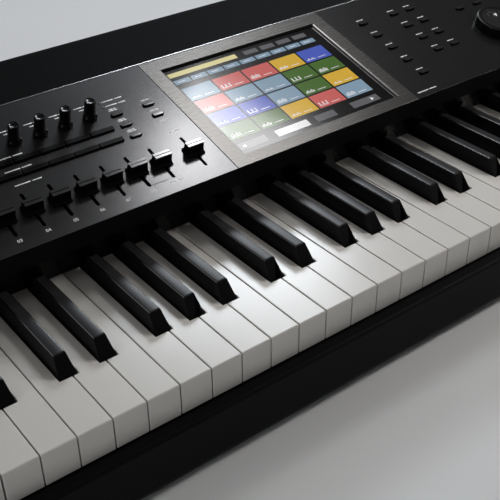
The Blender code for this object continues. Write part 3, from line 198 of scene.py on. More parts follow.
class Finish:
    """One material, built from nodes."""

    def __init__(self, name, colour, roughness=0.5, metallic=0.0, specular=0.5):
        self.colour = tuple(colour)
        self.material = bpy.data.materials.new(name)
        self.material.use_nodes = True
        self.tree = self.material.node_tree
        self.shader = self.tree.nodes["Principled BSDF"]
        self.material.diffuse_color = (*colour, 1.0)
        self.set("Base Color", (*colour, 1.0))
        self.set("Roughness", roughness)
        self.set("Metallic", metallic)
        self.set("Specular IOR Level", specular)

    def set(self, name, value):
        self.feed(self.shader.inputs[name], value)

    def feed(self, target, value):
        if isinstance(value, Signal):
            self.tree.links.new(value.socket, target)
        else:
            target.default_value = value

    def node(self, kind, settings=None, values=None, output=0):
        """Adds one node: its settings first, then the values or links of its sockets."""
        made = self.tree.nodes.new(kind)
        for name, value in (settings or {}).items():
            setattr(made, name, value)
        for key, value in (values or {}).items():
            self.feed(made.inputs[key], value)
        return Signal(self, made.outputs[output])

    def place(self, stretch=(1, 1, 1)):
        where = self.node("ShaderNodeTexCoord", output="Object")
        return self.node("ShaderNodeMapping", values={"Vector": where, "Scale": stretch})

    def directions(self):
        """Place on the surface along X, Y and Z."""
        parts = self.node("ShaderNodeSeparateXYZ", values={"Vector": self.place()})
        return [Signal(self, output) for output in parts.socket.node.outputs]

    def noise(self, scale, detail=2.0, stretch=(1, 1, 1)):
        values = {"Vector": self.place(stretch), "Scale": scale, "Detail": detail}
        return self.node("ShaderNodeTexNoise", values=values)

    def bump(self, height, distance):
        values = {"Height": height, "Distance": distance}
        self.set("Normal", self.node("ShaderNodeBump", values=values))

    def grained(self, scale, low, spread, relief=0.0, detail=3, stretch=(1, 1, 1)):
        """Roughness that varies with a fine grain, and the relief of the same grain."""
        grain = self.noise(scale, detail, stretch)
        self.set("Roughness", low + spread * grain)
        if relief:
            self.bump(grain, relief)
        return grain

    def blend(self, factor, first, second):
        def colour(value):
            return value if isinstance(value, Signal) else (*value, 1.0)

        values = {0: factor, 6: colour(first), 7: colour(second)}
        return self.node("ShaderNodeMix", {"data_type": "RGBA"}, values, output=2)

    def vary(self, factor, low, high):
        """Colours the surface between a darker and a lighter shade of its own colour."""
        mixed = self.blend(factor, shade(self.colour, low), shade(self.colour, high))
        self.set("Base Color", mixed)

    def tint(self, spread, scale):
        """Makes the colour a little darker and lighter from place to place."""
        self.vary(self.noise(scale), 1 - spread, 1 + spread)


def colours():
    return bpy.context.scene.workstation_colours


def sizes():
    return bpy.context.scene.workstation_sizes


def panel_paint(name):
    """Satin charcoal paint with a fine grain."""
    look = Finish(name, colours().panel, metallic=0.85, specular=0.3)
    look.tint(0.08, 30)
    look.grained(2600, 0.18, 0.05, 0.000007)
    return look


def brushed_bezel(name):
    """Dark anodised metal, brushed along the keys."""
    look = Finish(name, colours().bezel, metallic=0.7, specular=0.3)
    strokes = look.grained(1800, 0.22, 0.09, 0.00002, detail=4, stretch=(0.015, 1, 1))
    look.vary(strokes, 0.86, 1.12)
    return look


def window_chamfer(name):
    """Chamfer round the display: grey, with a painted highlight along its upper edge."""
    look = Finish(name, (0.2, 0.2, 0.19), metallic=1.0)
    _, y, z = look.directions()
    height = (z - PANEL_FOOT.z) * math.cos(TILT) - (y - PANEL_FOOT.y) * math.sin(TILT)
    # A near-white band painted along the chamfer's upper edge is a painted highlight of the edge's rounding
    painted_highlight_band = height > -0.0008
    look.set("Base Color", look.blend(painted_highlight_band, (0.12, 0.12, 0.118), (0.85, 0.84, 0.82)))
    look.set("Roughness", 0.34 - 0.16 * painted_highlight_band + 0.1 * look.noise(700))
    return look


def polished_rim(name):
    """Bright polished metal of thin rims and beads."""
    look = Finish(name, (0.3, 0.3, 0.31), metallic=1.0)
    look.grained(700, 0.16, 0.1, detail=2)
    return look


def case_moulding(name):
    """Black moulding with a fine leather-like texture."""
    look = Finish(name, colours().case, specular=0.1)
    look.tint(0.15, 60)
    look.grained(2200, 0.46, 0.16, 0.00005)
    return look


def vent_plastic(name):
    """The same moulding with rows of small round holes behind the panel, drawn as dents with painted shade."""
    look = Finish(name, colours().case, specular=0.02)
    low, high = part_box("rear_deck")
    middle = (low.y + high.y) / 2
    reach = (high.y - low.y) / 2 - 0.008
    x, y, z = look.directions()
    pitch = sizes().vent_pitch
    across, along = x.repeat(pitch), y.repeat(pitch)
    hole = (across * across + along * along < 0.075) * (abs(y - middle) < reach)
    hole = hole * (abs(x) < high.x - 0.05) * (z > high.z - 0.03)
    # Each hole is painted near-black: painted shade for the dark inside of the hole
    look.set("Base Color", look.blend(hole, colours().case, (0.001, 0.001, 0.001)))
    grain = look.noise(2200, detail=3)
    look.set("Roughness", 0.5 + 0.14 * grain + 0.3 * hole)
    look.bump(0.1 * grain - hole, 0.0004)
    return look


def coated_steel(name):
    """Satin black sheet steel."""
    look = Finish(name, (0.010, 0.010, 0.011), metallic=0.1, specular=0.25)
    look.grained(1200, 0.42, 0.14, 0.00004)
    return look


def polished_black(name):
    """Polished black fallboard with faint wiping marks."""
    look = Finish(name, (0.003, 0.003, 0.0034), specular=0.06)
    look.grained(18, 0.18, 0.08, detail=4, stretch=(1, 3, 3))
    return look


def key_white(name):
    """Satin ivory-white moulding."""
    look = Finish(name, colours().naturals)
    look.tint(0.035, 22)
    look.grained(420, 0.2, 0.08, stretch=(1, 0.2, 1))
    look.bump(look.noise(3000), 0.000006)
    return look


def key_black(name):
    """Sides of a sharp: matte black."""
    look = Finish(name, colours().sharps, specular=0.12)
    look.tint(0.2, 90)
    look.grained(1500, 0.38, 0.14, 0.00002, stretch=(1, 0.1, 1))
    return look


def key_black_top(name):
    """Top of a sharp: a lengthwise grain on a colour made lighter than the sides, a painted sheen."""
    # The top's colour is four times the sides' plus a little: a painted sheen for light falling on the top
    look = Finish(name, [part * 4 + 0.01 for part in colours().sharps], specular=0.13)
    grain = look.grained(2400, 0.28, 0.08, 0.00002, detail=4, stretch=(1, 0.02, 1))
    look.vary(grain, 0.7, 1.3)
    return look


def key_black_edge(name):
    """Polished chamfer along the top of a sharp."""
    look = Finish(name, colours().sharps, specular=0.6)
    look.grained(900, 0.2, 0.08, detail=2, stretch=(1, 0.1, 1))
    return look


def control_black(name):
    """Smooth black moulding of knobs, dial and sockets."""
    look = Finish(name, (0.003, 0.003, 0.0034), specular=0.15)
    look.grained(900, 0.26, 0.14, 0.00001)
    return look


def slider_black(name):
    """Matte black body of a slider cap."""
    look = Finish(name, (0.002, 0.002, 0.0022), specular=0.03)
    look.grained(1100, 0.5, 0.14, 0.00001)
    return look


def cap_top(name):
    """Satin top of a slider cap, a button or the dial."""
    look = Finish(name, (0.10, 0.10, 0.103), metallic=0.8, specular=0.3)
    look.tint(0.1, 400)
    look.grained(1500, 0.13, 0.07, detail=2, stretch=(0.1, 1, 1))
    return look


def dark_chrome(name):
    """Dished metal top of a knob."""
    look = Finish(name, (0.05, 0.05, 0.053), metallic=1.0)
    look.grained(1200, 0.10, 0.12)
    return look


def knob_rim(name):
    """Polished black rim round a knob's top."""
    look = Finish(name, (0.004, 0.004, 0.0045), specular=0.8)
    look.set("IOR", 1.8)
    look.grained(700, 0.13, 0.08, detail=2)
    return look


def rolled_steel(name):
    """Plain sheet steel with a rolled grain."""
    look = Finish(name, (0.5, 0.51, 0.53), metallic=1.0)
    look.grained(700, 0.3, 0.2, detail=4, stretch=(0.05, 1, 1))
    look.tint(0.12, 40)
    return look


def nickel(name):
    """Plated nuts, screws and contacts."""
    look = Finish(name, (0.62, 0.60, 0.56), metallic=1.0)
    look.grained(1100, 0.18, 0.16, detail=2)
    return look


def circuit_board(name):
    """Circuit board with copper runs under its lacquer."""
    look = Finish(name, (0.02, 0.11, 0.05))
    x, y, _ = look.directions()
    runs = (abs(x.repeat(0.0028)) < 0.16) * (look.noise(90) > 0.5)
    runs = runs + (abs(y.repeat(0.0028)) < 0.16) * (look.noise(70) > 0.56)
    look.set("Base Color", look.blend(runs, (0.015, 0.10, 0.04), (0.03, 0.20, 0.08)))
    look.grained(500, 0.32, 0.1, detail=2)
    return look


def soft_rubber(name):
    """Black rubber."""
    look = Finish(name, (0.016, 0.016, 0.017), specular=0.3)
    look.grained(1600, 0.62, 0.2, 0.00006)
    return look


def button_rubber(name):
    """Dark satin rubber of the buttons."""
    look = Finish(name, (0.003, 0.003, 0.0034), specular=0.05)
    look.tint(0.3, 160)
    look.grained(900, 0.24, 0.1, detail=2)
    return look


def screen_glass(name):
    """Black-backed touch glass with faint wiping marks."""
    look = Finish(name, (0.004, 0.004, 0.005), specular=0.65)
    look.grained(24, 0.10, 0.05, detail=4)
    return look


def panel_print(name):
    """Pale printed marks."""
    look = Finish(name, colours().marks)
    look.tint(0.08, 1500)
    look.grained(2500, 0.3, 0.1, detail=2)
    return look


def lamp_lens(name):
    """Small indicator lamp, unlit."""
    look = Finish(name, (0.05, 0.012, 0.012), specular=0.7)
    look.grained(2000, 0.15, 0.1, detail=2)
    return look


def ink(name):
    """One colour of the display: fine rows of picture cells under glass."""
    colour = INKS[name]
    look = Finish(name, colour, roughness=0.12, specular=0.65)
    _, y, _ = look.directions()
    low = shade(colour, 0.8)
    rows = look.blend(abs(y.repeat(0.0006)), low, colour)
    drift = look.blend(look.noise(18), low, colour)
    mixed = look.blend(0.5, rows, drift)
    look.set("Base Color", mixed)
    look.set("Emission Color", mixed)
    look.set("Emission Strength", 0.35)
    return look


INKS = {
    "ink_coral": (0.62, 0.13, 0.12),
    "ink_slate": (0.25, 0.36, 0.47),
    "ink_blue": (0.08, 0.12, 0.52),
    "ink_gold": (0.72, 0.44, 0.05),
    "ink_green": (0.07, 0.15, 0.03),
    "ink_cream": (0.80, 0.72, 0.36),
    "ink_grey": (0.13, 0.13, 0.14),
    "ink_white": (0.88, 0.88, 0.90),
}
BUILDERS = (
    panel_paint, brushed_bezel, window_chamfer, polished_rim, case_moulding, vent_plastic,
    coated_steel, polished_black, key_white, key_black, key_black_top, key_black_edge,
    control_black, slider_black, cap_top, dark_chrome, knob_rim, rolled_steel, nickel,
    circuit_board, soft_rubber, button_rubber, screen_glass, panel_print, lamp_lens,
)
FINISHES = {build.__name__: build for build in BUILDERS} | dict.fromkeys(INKS, ink)


@functools.cache
def finish(name):
    """The finish of this name, built when it is first asked for."""
    return FINISHES[name](name).material


def panel_box(node):
    """Lowest and highest corner of a solid, along the panel's own directions."""
    inverse = PANEL.inverted()
    points = [inverse @ vert.co for vert in NODES[node].data.vertices]
    low = Vector([min(point[i] for point in points) for i in range(3)])
    high = Vector([max(point[i] for point in points) for i in range(3)])
    return low, high


def turning_place(node):
    """Place of a turning control: on its axis, square to the panel."""
    return Matrix.Translation(AXIS_OF[node]) @ Matrix.Rotation(TILT, 4, "X")


def column(node):
    """Place of a control along the keys."""
    low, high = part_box(node)
    return (low.x + high.x) / 2


def piece(name, bm, node, looks, replaced=()):
    """Makes an object that rides with a solid's body and hides the solids it replaces."""
    bmesh.ops.recalc_face_normals(bm, faces=bm.faces)
    mesh = bpy.data.meshes.new(name)
    bm.to_mesh(mesh)
    bm.free()
    for look in looks:
        mesh.materials.append(finish(look))
    mesh.shade_smooth()
    mesh.set_sharp_from_angle(angle=SHARP_ANGLE)
    obj = bpy.data.objects.new(name, mesh)
    bpy.context.scene.collection.objects.link(obj)
    shading = obj.modifiers.new("even_shading", "WEIGHTED_NORMAL")
    shading.keep_sharp = True
    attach(obj, BODY_OF[node])
    if replaced:
        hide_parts(*replaced)
    return obj


def soften(node, width, looks, pick=None, paint=None, segments=2):
    """Redraws a solid with rounded edges.

    pick chooses the edges, and paint gives a face the number of its finish.
    """
    bm = bmesh.new()
    bm.from_mesh(NODES[node].data)
    bmesh.ops.remove_doubles(bm, verts=bm.verts, dist=1e-6)
    bmesh.ops.dissolve_limit(bm, angle_limit=math.radians(0.4), verts=bm.verts, edges=bm.edges)
    edges = [
        edge
        for edge in bm.edges
        if edge.is_manifold and edge.calc_face_angle() > SHARP_ANGLE and (not pick or pick(edge))
    ]
    bmesh.ops.bevel(
        bm,
        geom=edges,
        offset=width,
        offset_type="OFFSET",
        segments=segments,
        profile=0.5,
        affect="EDGES",
        clamp_overlap=True,
    )
    bm.normal_update()
    for face in bm.faces:
        face.material_index = paint(face) if paint else 0
    return piece(f"{node}_finished", bm, node, looks, (node,))


def longer_than(length):
    """Picks the edges over a length."""
    return lambda edge: edge.calc_length() > length


def faces_front(face):
    """True for a face that looks towards the player."""
    return face.normal.y < -SIDE_LEAN


def join_rings(bm, rings):
    """Closes rings of points into one shape: first cap, sides, last cap."""
    count = len(rings[0])
    faces = [bm.faces.new(rings[0])]
    for lower, upper in zip(rings, rings[1:]):
        for k in range(count):
            faces.append(bm.faces.new((lower[k - 1], lower[k], upper[k], upper[k - 1])))
    faces.append(bm.faces.new(rings[-1]))
    return faces


def add_turned(bm, profile, place, sides, ripple=None):
    """Turns (radius, height) pairs round the Z axis of a place."""
    rings = []
    for index, (radius, height) in enumerate(profile):
        ring = []
        for k in range(sides):
            angle = 2 * math.pi * k / sides
            reach = radius + (ripple(index, k) if ripple else 0)
            point = Vector((reach * math.cos(angle), reach * math.sin(angle), height))
            ring.append(bm.verts.new(place @ point))
        rings.append(ring)
    return join_rings(bm, rings)


def outline_of(centre, size, corner, inset=0.0):
    """Outline of a rectangle with round corners."""
    reach_x = size[0] / 2 - corner
    reach_y = size[1] / 2 - corner
    radius = max(corner - inset, 0.00005)
    reach_x -= max(inset - corner, 0)
    reach_y -= max(inset - corner, 0)
    points = []
    for quarter, (sx, sy) in enumerate(((1, 1), (-1, 1), (-1, -1), (1, -1))):
        for k in range(CORNER_STEPS + 1):
            angle = math.pi / 2 * (quarter + k / CORNER_STEPS)
            x = centre[0] + sx * reach_x + radius * math.cos(angle)
            y = centre[1] + sy * reach_y + radius * math.sin(angle)
            points.append((x, y))
    return points


def add_cap(bm, centre, size, corner, low, high, place=PANEL, edge=0.0004, look=0, top_look=None):
    """A button or pad with round corners and a rounded top edge."""
    layers = ((0.0, low), (0.0, high - edge), (edge * 0.3, high - edge * 0.3), (edge, high))
    rings = []
    for inset, height in layers:
        outline = outline_of(centre, size, corner, inset)
        rings.append([bm.verts.new(place @ Vector((x, y, height))) for x, y in outline])
    faces = join_rings(bm, rings)
    for face in faces:
        face.material_index = look
    if top_look is not None:
        faces[-1].material_index = top_look


def add_slab(bm, low, high, place=WORLD, look=0):
    """A thin plate or web between two corners, with its edges broken."""
    edge = min(high[i] - low[i] for i in range(3)) * 0.2
    size = (high[0] - low[0], high[1] - low[1])
    centre = ((high[0] + low[0]) / 2, (high[1] + low[1]) / 2)
    add_cap(bm, centre, size, edge, low[2], high[2], place, edge, look)


def add_extrusion(bm, outline, low, high, place, paint=None):
    """Draws an outline of (Y, Z) pairs from low to high along X."""
    ends = [[bm.verts.new(place @ Vector((x, y, z))) for y, z in outline] for x in (low, high)]
    bm.faces.new(ends[0])
    bm.faces.new(ends[1])
    for k in range(len(outline)):
        face = bm.faces.new((ends[0][k - 1], ends[0][k], ends[1][k], ends[1][k - 1]))
        face.material_index = paint(k) if paint else 0


def add_number(bm, text, height, place, centre):
    """Prints a plain number, its middle at a point of a place's X and Y."""
    curve = bpy.data.curves.new("number", "FONT")
    curve.body = text
    curve.size = height / 0.7
    curve.align_x = "CENTER"
    curve.align_y = "CENTER"
    curve.extrude = 0.00003
    curve.offset = 0.00005
    curve.resolution_u = 4
    obj = bpy.data.objects.new("number", curve)
    bpy.context.scene.collection.objects.link(obj)
    bpy.context.view_layer.update()
    shape = obj.evaluated_get(bpy.context.evaluated_depsgraph_get()).to_mesh()
    shape.transform(place @ Matrix.Translation((centre[0], centre[1], 0)))
    bm.from_mesh(shape)
    bpy.data.objects.remove(obj)
    bpy.data.curves.remove(curve)


class WorkstationColours(bpy.types.PropertyGroup):
    """Colours of the instrument and its stage."""

    naturals: bpy.props.FloatVectorProperty(
        name="Naturals", description="White keys", subtype="COLOR",
        default=(0.74, 0.715, 0.68),
    )
    sharps: bpy.props.FloatVectorProperty(
        name="Sharps", description="Black keys", subtype="COLOR",
        default=(0.004, 0.004, 0.0046),
    )
    panel: bpy.props.FloatVectorProperty(
        name="Panel", description="Control panel paint", subtype="COLOR",
        default=(0.072, 0.072, 0.074),
    )
    bezel: bpy.props.FloatVectorProperty(
        name="Bezel", description="Metal round the display", subtype="COLOR",
        default=(0.1, 0.096, 0.0915),
    )
    case: bpy.props.FloatVectorProperty(
        name="Case", description="Case mouldings", subtype="COLOR",
        default=(0.003, 0.003, 0.0034),
    )
    marks: bpy.props.FloatVectorProperty(
        name="Marks", description="Printed marks", subtype="COLOR",
        default=(0.86, 0.86, 0.87),
    )
    floor: bpy.props.FloatVectorProperty(
        name="Floor", description="Floor and backdrop", subtype="COLOR",
        default=(0.85, 0.85, 0.86),
    )


class WorkstationSizes(bpy.types.PropertyGroup):
    """Sizes of the fine detail."""

    natural_edge: bpy.props.FloatProperty(
        name="Natural edge", description="Rounding along a white key",
        default=0.0010, unit="LENGTH", subtype="DISTANCE",
    )
    sharp_edge: bpy.props.FloatProperty(
        name="Sharp edge", description="Rounding along a black key",
        default=0.0008, unit="LENGTH", subtype="DISTANCE",
    )
    case_edge: bpy.props.FloatProperty(
        name="Case edge", description="Rounding of the case's corners",
        default=0.0012, unit="LENGTH", subtype="DISTANCE",
    )
    panel_edge: bpy.props.FloatProperty(
        name="Panel edge", description="Rounding of the panel's sheet metal",
        default=0.0003, unit="LENGTH", subtype="DISTANCE",
    )
    vent_pitch: bpy.props.FloatProperty(
        name="Vent pitch", description="Distance between the holes of the rear deck",
        default=0.0034, unit="LENGTH", subtype="DISTANCE",
    )
    number_height: bpy.props.FloatProperty(
        name="Number height", description="Height of the printed numbers",
        default=0.0027, unit="LENGTH", subtype="DISTANCE",
    )
    tile_gap: bpy.props.FloatProperty(
        name="Tile gap", description="Dark line between the display's tiles",
        default=0.0008, unit="LENGTH", subtype="DISTANCE",
    )
    knob_ribs: bpy.props.IntProperty(
        name="Knob ribs", description="Grip ribs round a knob", default=24
    )
    dial_ribs: bpy.props.IntProperty(
        name="Dial ribs", description="Grip ribs round the dial", default=72
    )


class WORKSTATION_OT_inner_parts(bpy.types.Operator):
    """Gives the boards, rails and frames inside the case their finishes"""

    bl_idname = "workstation.inner_parts"
    bl_label = "Inner parts"

    def execute(self, context):
        looks = dict.fromkeys(("key_pivot_rail", "display_module", "power_supply"), "rolled_steel")
        looks |= dict.fromkeys(("key_contact_board", "main_board"), "circuit_board")
        looks["joystick_gimbal"] = "rolled_steel"
        for node, look in looks.items():
            NODES[node].data.materials.clear()
            NODES[node].data.materials.append(finish(look))
        return {"FINISHED"}


class WORKSTATION_OT_case(bpy.types.Operator):
    """Rounds the case: bottom plate, cheeks, end blocks, key slip, fallboard, deck and back"""

    bl_idname = "workstation.case"
    bl_label = "Case"

    def execute(self, context):
        thin = sizes().panel_edge
        pick = longer_than(0.004)
        for node in ("left_end_cheek", "right_end_cheek", "controller_block", "right_key_block"):
            soften(node, sizes().case_edge, ("case_moulding",), pick, segments=3)
        soften("rear_rail", thin, ("coated_steel",), pick)
        soften("key_slip", thin * 2, ("case_moulding",), pick)
        soften("fallboard", thin, ("polished_black",), pick)
        soften("rear_deck", thin, ("vent_plastic",), pick)
        soften("rear_panel", thin, ("coated_steel",), pick)
        soften("bottom_plate", thin, ("coated_steel",), pick)
        return {"FINISHED"}


class WORKSTATION_OT_keys(bpy.types.Operator):
    """Rounds the naturals and the sharps, and gives the sharps grained tops with a painted sheen"""

    bl_idname = "workstation.keys"
    bl_label = "Keys"

    def execute(self, context):
        def above_naturals(edge):
            return all(vert.co.z > KEY_TOP - 0.001 for vert in edge.verts)

        # Top faces of a sharp take the finish with the painted sheen, its chamfers the polished one
        def sharp_look(face):
            low = face.calc_center_median().z < SHARP_TOP - SHARP_CHAMFER
            if low or face.normal.z < 0.3 or face.normal.y < -0.3:
                return 0
            return 1 if face.normal.z > 0.9 else 2

        looks = ("key_black", "key_black_top", "key_black_edge")
        for node in NODES:
            if SLOT_OF[node] == "ivory":
                soften(node, sizes().natural_edge, ("key_white",), segments=3)
            elif SLOT_OF[node] == "ebony":
                soften(node, sizes().sharp_edge, looks, above_naturals, sharp_look, segments=1)
        return {"FINISHED"}


class WORKSTATION_OT_panel(bpy.types.Operator):
    """Rounds the control panel's sheets, paints shade on their front faces, slot walls and seam, polishes the
    chamfer round the display and paints a highlight along its upper edge
    """

    bl_idname = "workstation.panel"
    bl_label = "Control panel"

    def execute(self, context):
        thin = sizes().panel_edge
        pick = longer_than(0.003)
        out = PANEL.to_3x3() @ Vector((0, 0, 1))

        def bezel_look(face):
            # Front faces, and the end face at the seam with the left panel, take the black moulding: painted shade
            # under the lip and in the joint
            at_seam = face.calc_center_median().x < PANEL_LOW.x + 0.001
            if faces_front(face) or face.normal.x < -SIDE_LEAN and at_seam:
                return 2
            wide = face.calc_area() > 0.00008
            return 1 if wide and 0.3 < face.normal.dot(out) < 0.9 else 0

        # Front faces of a sheet take the black moulding: painted shade on the lip under the panel's edge
        def sheet_look(face):
            return 1 if faces_front(face) else 0

        # Slot walls and side faces of the left panel take the black moulding as well: painted shade in the slots
        def slotted_look(face):
            return 1 if faces_front(face) or abs(face.normal.x) > 0.5 else 0

        # The black moulding on these faces is painted shade, not a black part
        looks = ("panel_paint", "case_moulding")
        soften("left_control_panel", thin, looks, pick, slotted_look)
        soften("right_control_panel", thin, looks, pick, sheet_look)
        looks = ("brushed_bezel", "window_chamfer", "case_moulding")
        soften("display_bezel", thin, looks, pick, bezel_look)
        soften("touch_glass", thin / 2, ("screen_glass",))
        bm = bmesh.new()
        low, high = panel_box("left_control_panel")
        right = panel_box("right_control_panel")[1].x
        angles = [math.pi * k / 8 for k in range(9)]
        bead = [(high.y - 0.0006 + 0.0007 * math.cos(a), 0.0004 * math.sin(a)) for a in angles]
        bead += [(high.y - 0.0012, -0.0005), (high.y, -0.0005)]
        add_extrusion(bm, bead, low.x, right, PANEL)
        piece("panel_trim", bm, "display_bezel", ("polished_rim",))
        return {"FINISHED"}


class WORKSTATION_OT_display(bpy.types.Operator):
    """Draws a plain grid of coloured tiles, bars and level marks on the display"""

    bl_idname = "workstation.display"
    bl_label = "Display picture"

    def execute(self, context):
        looks = tuple(INKS)
        coral, slate, blue, gold, green, cream, grey, white = range(len(looks))
        low, high = panel_box("touch_glass")
        bm = bmesh.new()
        lift = 0.00004
        level = high.z + lift
        bar_height, key_height = 0.0055, 0.0075
        left, right = low.x + 0.006, high.x - 0.016
        bottom, top = low.y + 0.010, high.y - 0.008
        width = right - left
        gap = sizes().tile_gap

        def shape(corners, look, rise):
            places = [Vector((x, y, level + rise)) for x, y in corners]
            face = bm.faces.new([bm.verts.new(PANEL @ spot) for spot in places])
            face.material_index = look

        def bar(x, y, length, height, look, rise=lift):
            ends = (x, x + length)
            corners = ((ends[0], y), (ends[1], y), (ends[1], y + height), (ends[0], y + height))
            shape(corners, look, rise)

        rows = (
            (slate, coral, coral, gold, blue),
            (coral, slate, slate, green, green),
            (blue, blue, slate, green, gold),
            (green, green, gold, coral, slate),
        )
        foot = bottom + 0.012
        head = top - 0.022
        pitch_x = width / len(rows[0])
        pitch_y = (head - foot) / len(rows)
        for (j, row), i in itertools.product(enumerate(rows), range(len(rows[0]))):
            x = left + i * pitch_x
            y = head - (j + 1) * pitch_y
            bar(x + gap, y + gap, pitch_x - 2 * gap, pitch_y - 2 * gap, row[i], 0)
            for k in range(5):
                height = 0.0012 + 0.0012 * ((i * 3 + j * 2 + k * k) % 4)
                bar(x + 0.0032 + k * 0.0019, y + 0.0030, 0.0011, height, white)
            bar(x + 0.0150, y + 0.0034, 0.0090, 0.0006, white)
        bar(left + gap, top - 0.007, width * 0.46, bar_height, cream, 0)
        for k in range(4):
            start = left + width * (0.52 + 0.12 * k)
            bar(start, top - 0.007, pitch_x * 0.48, bar_height, grey, 0)
        tab = width / 9
        for k in range(9):
            bar(left + gap + k * tab, top - 0.0165, tab - 2 * gap, bar_height, slate, 0)
            bar(left + 0.004 + k * tab, top - 0.0142, 0.0070, 0.0007, white)
        keys = (
            (left + gap, 0.9, grey),
            (left + pitch_x * 1.25, 1.1, white),
            (left + pitch_x * 2.6, 0.7, grey),
            (right - pitch_x * 1.1, 1.0, grey),
        )
        for x, share, look in keys:
            bar(x, bottom, pitch_x * share, key_height, look, 0)
        for x, way in ((left + 0.006, -1), (right - 0.010, 1)):
            back, tip = x - way * 0.0016, x + way * 0.0020
            rows = (bottom + 0.0018, bottom + 0.0058, bottom + 0.0038)
            shape(tuple(zip((back, back, tip), rows)), white, lift)
        obj = piece("display_picture", bm, "touch_glass", looks)
        obj.modifiers.clear()
        return {"FINISHED"}


class WORKSTATION_OT_knobs(bpy.types.Operator):
    """Turns the eight knobs with their grip ribs, flange and dished metal top"""

    bl_idname = "workstation.knobs"
    bl_label = "Knobs"

    def execute(self, context):
        profile = (
            (0.0026, -0.0060), (0.0026, 0.0004), (0.0051, 0.0004), (0.0053, 0.0010),
            (0.0053, 0.0022), (0.0051, 0.0029), (0.0046, 0.0040), (0.0044, 0.0060),
            (0.0042, 0.0158), (0.0040, 0.0168), (0.0037, 0.0172), (0.0033, 0.0172),
            (0.0029, 0.0167), (0.0012, 0.0163),
        )
        per_rib = 4
        sides = sizes().knob_ribs * per_rib
        grip = (7, 8)
        rim = 1 + 9 * sides
        dish = rim + 2 * sides

        def ripple(index, k):
            return -0.00014 if index in grip and k % per_rib == 0 else 0

        looks = ("control_black", "dark_chrome", "knob_rim")
        for i in range(8):
            node = f"knob_{i + 1}"
            place = turning_place(node)
            bm = bmesh.new()
            faces = add_turned(bm, profile, place, sides, ripple)
            for face in faces[rim:dish]:
                face.material_index = 2
            for face in faces[dish:]:
                face.material_index = 1
            wing = place @ Matrix.Rotation(math.radians(-24), 4, "Z")
            add_cap(bm, (0.0050, 0), (0.0020, 0.0018), 0.0006, 0.0005, 0.0040, wing, 0.0005)
            piece(f"{node}_turned", bm, node, looks, (node,))
        return {"FINISHED"}


class WORKSTATION_OT_sliders(bpy.types.Operator):
    """Shapes the ten slider caps: skirt, waist, block and grooved top"""

    bl_idname = "workstation.sliders"
    bl_label = "Slider caps"

    def execute(self, context):
        outline = (
            (-0.0062, 0.0006), (-0.0059, 0.0012), (-0.0040, 0.0020), (-0.0034, 0.0030),
            (-0.0027, 0.0080), (-0.0029, 0.0085), (-0.0027, 0.0089), (-0.0004, 0.0089),
            (-0.0002, 0.0085), (0.0001, 0.0085), (0.0003, 0.0089), (0.0027, 0.0089),
            (0.0029, 0.0085), (0.0027, 0.0080), (0.0034, 0.0030), (0.0040, 0.0020),
            (0.0059, 0.0012), (0.0062, 0.0006),
        )
        tops = (6, 7, 11, 12)
        reach = 0.0069

        def paint(index):
            return 1 if index in tops else 0

        def at_end(edge):
            return abs(edge.verts[0].co.x - edge.verts[1].co.x) < 0.0001

        for node in [f"slider_{i + 1}" for i in range(8)] + ["master_slider", "value_slider"]:
            place = PANEL @ Matrix.Translation((column(node), SLIDER_ROW, 0))
            bm = bmesh.new()
            add_extrusion(bm, outline, -reach, reach, place, paint)
            ends = [e for e in bm.edges if e.calc_face_angle(0) > SHARP_ANGLE and at_end(e)]
            bmesh.ops.bevel(
                bm, geom=ends, offset=0.0003, segments=2, affect="EDGES", clamp_overlap=True
            )
            add_slab(bm, (-0.0009, -0.0020, -0.0050), (0.0009, 0.0020, 0.0007), place)
            add_slab(bm, (-0.0038, -0.0048, -0.0078), (0.0038, 0.0048, -0.0050), place)
            piece(f"{node}_cap", bm, node, ("slider_black", "cap_top"), (node,))
        return {"FINISHED"}


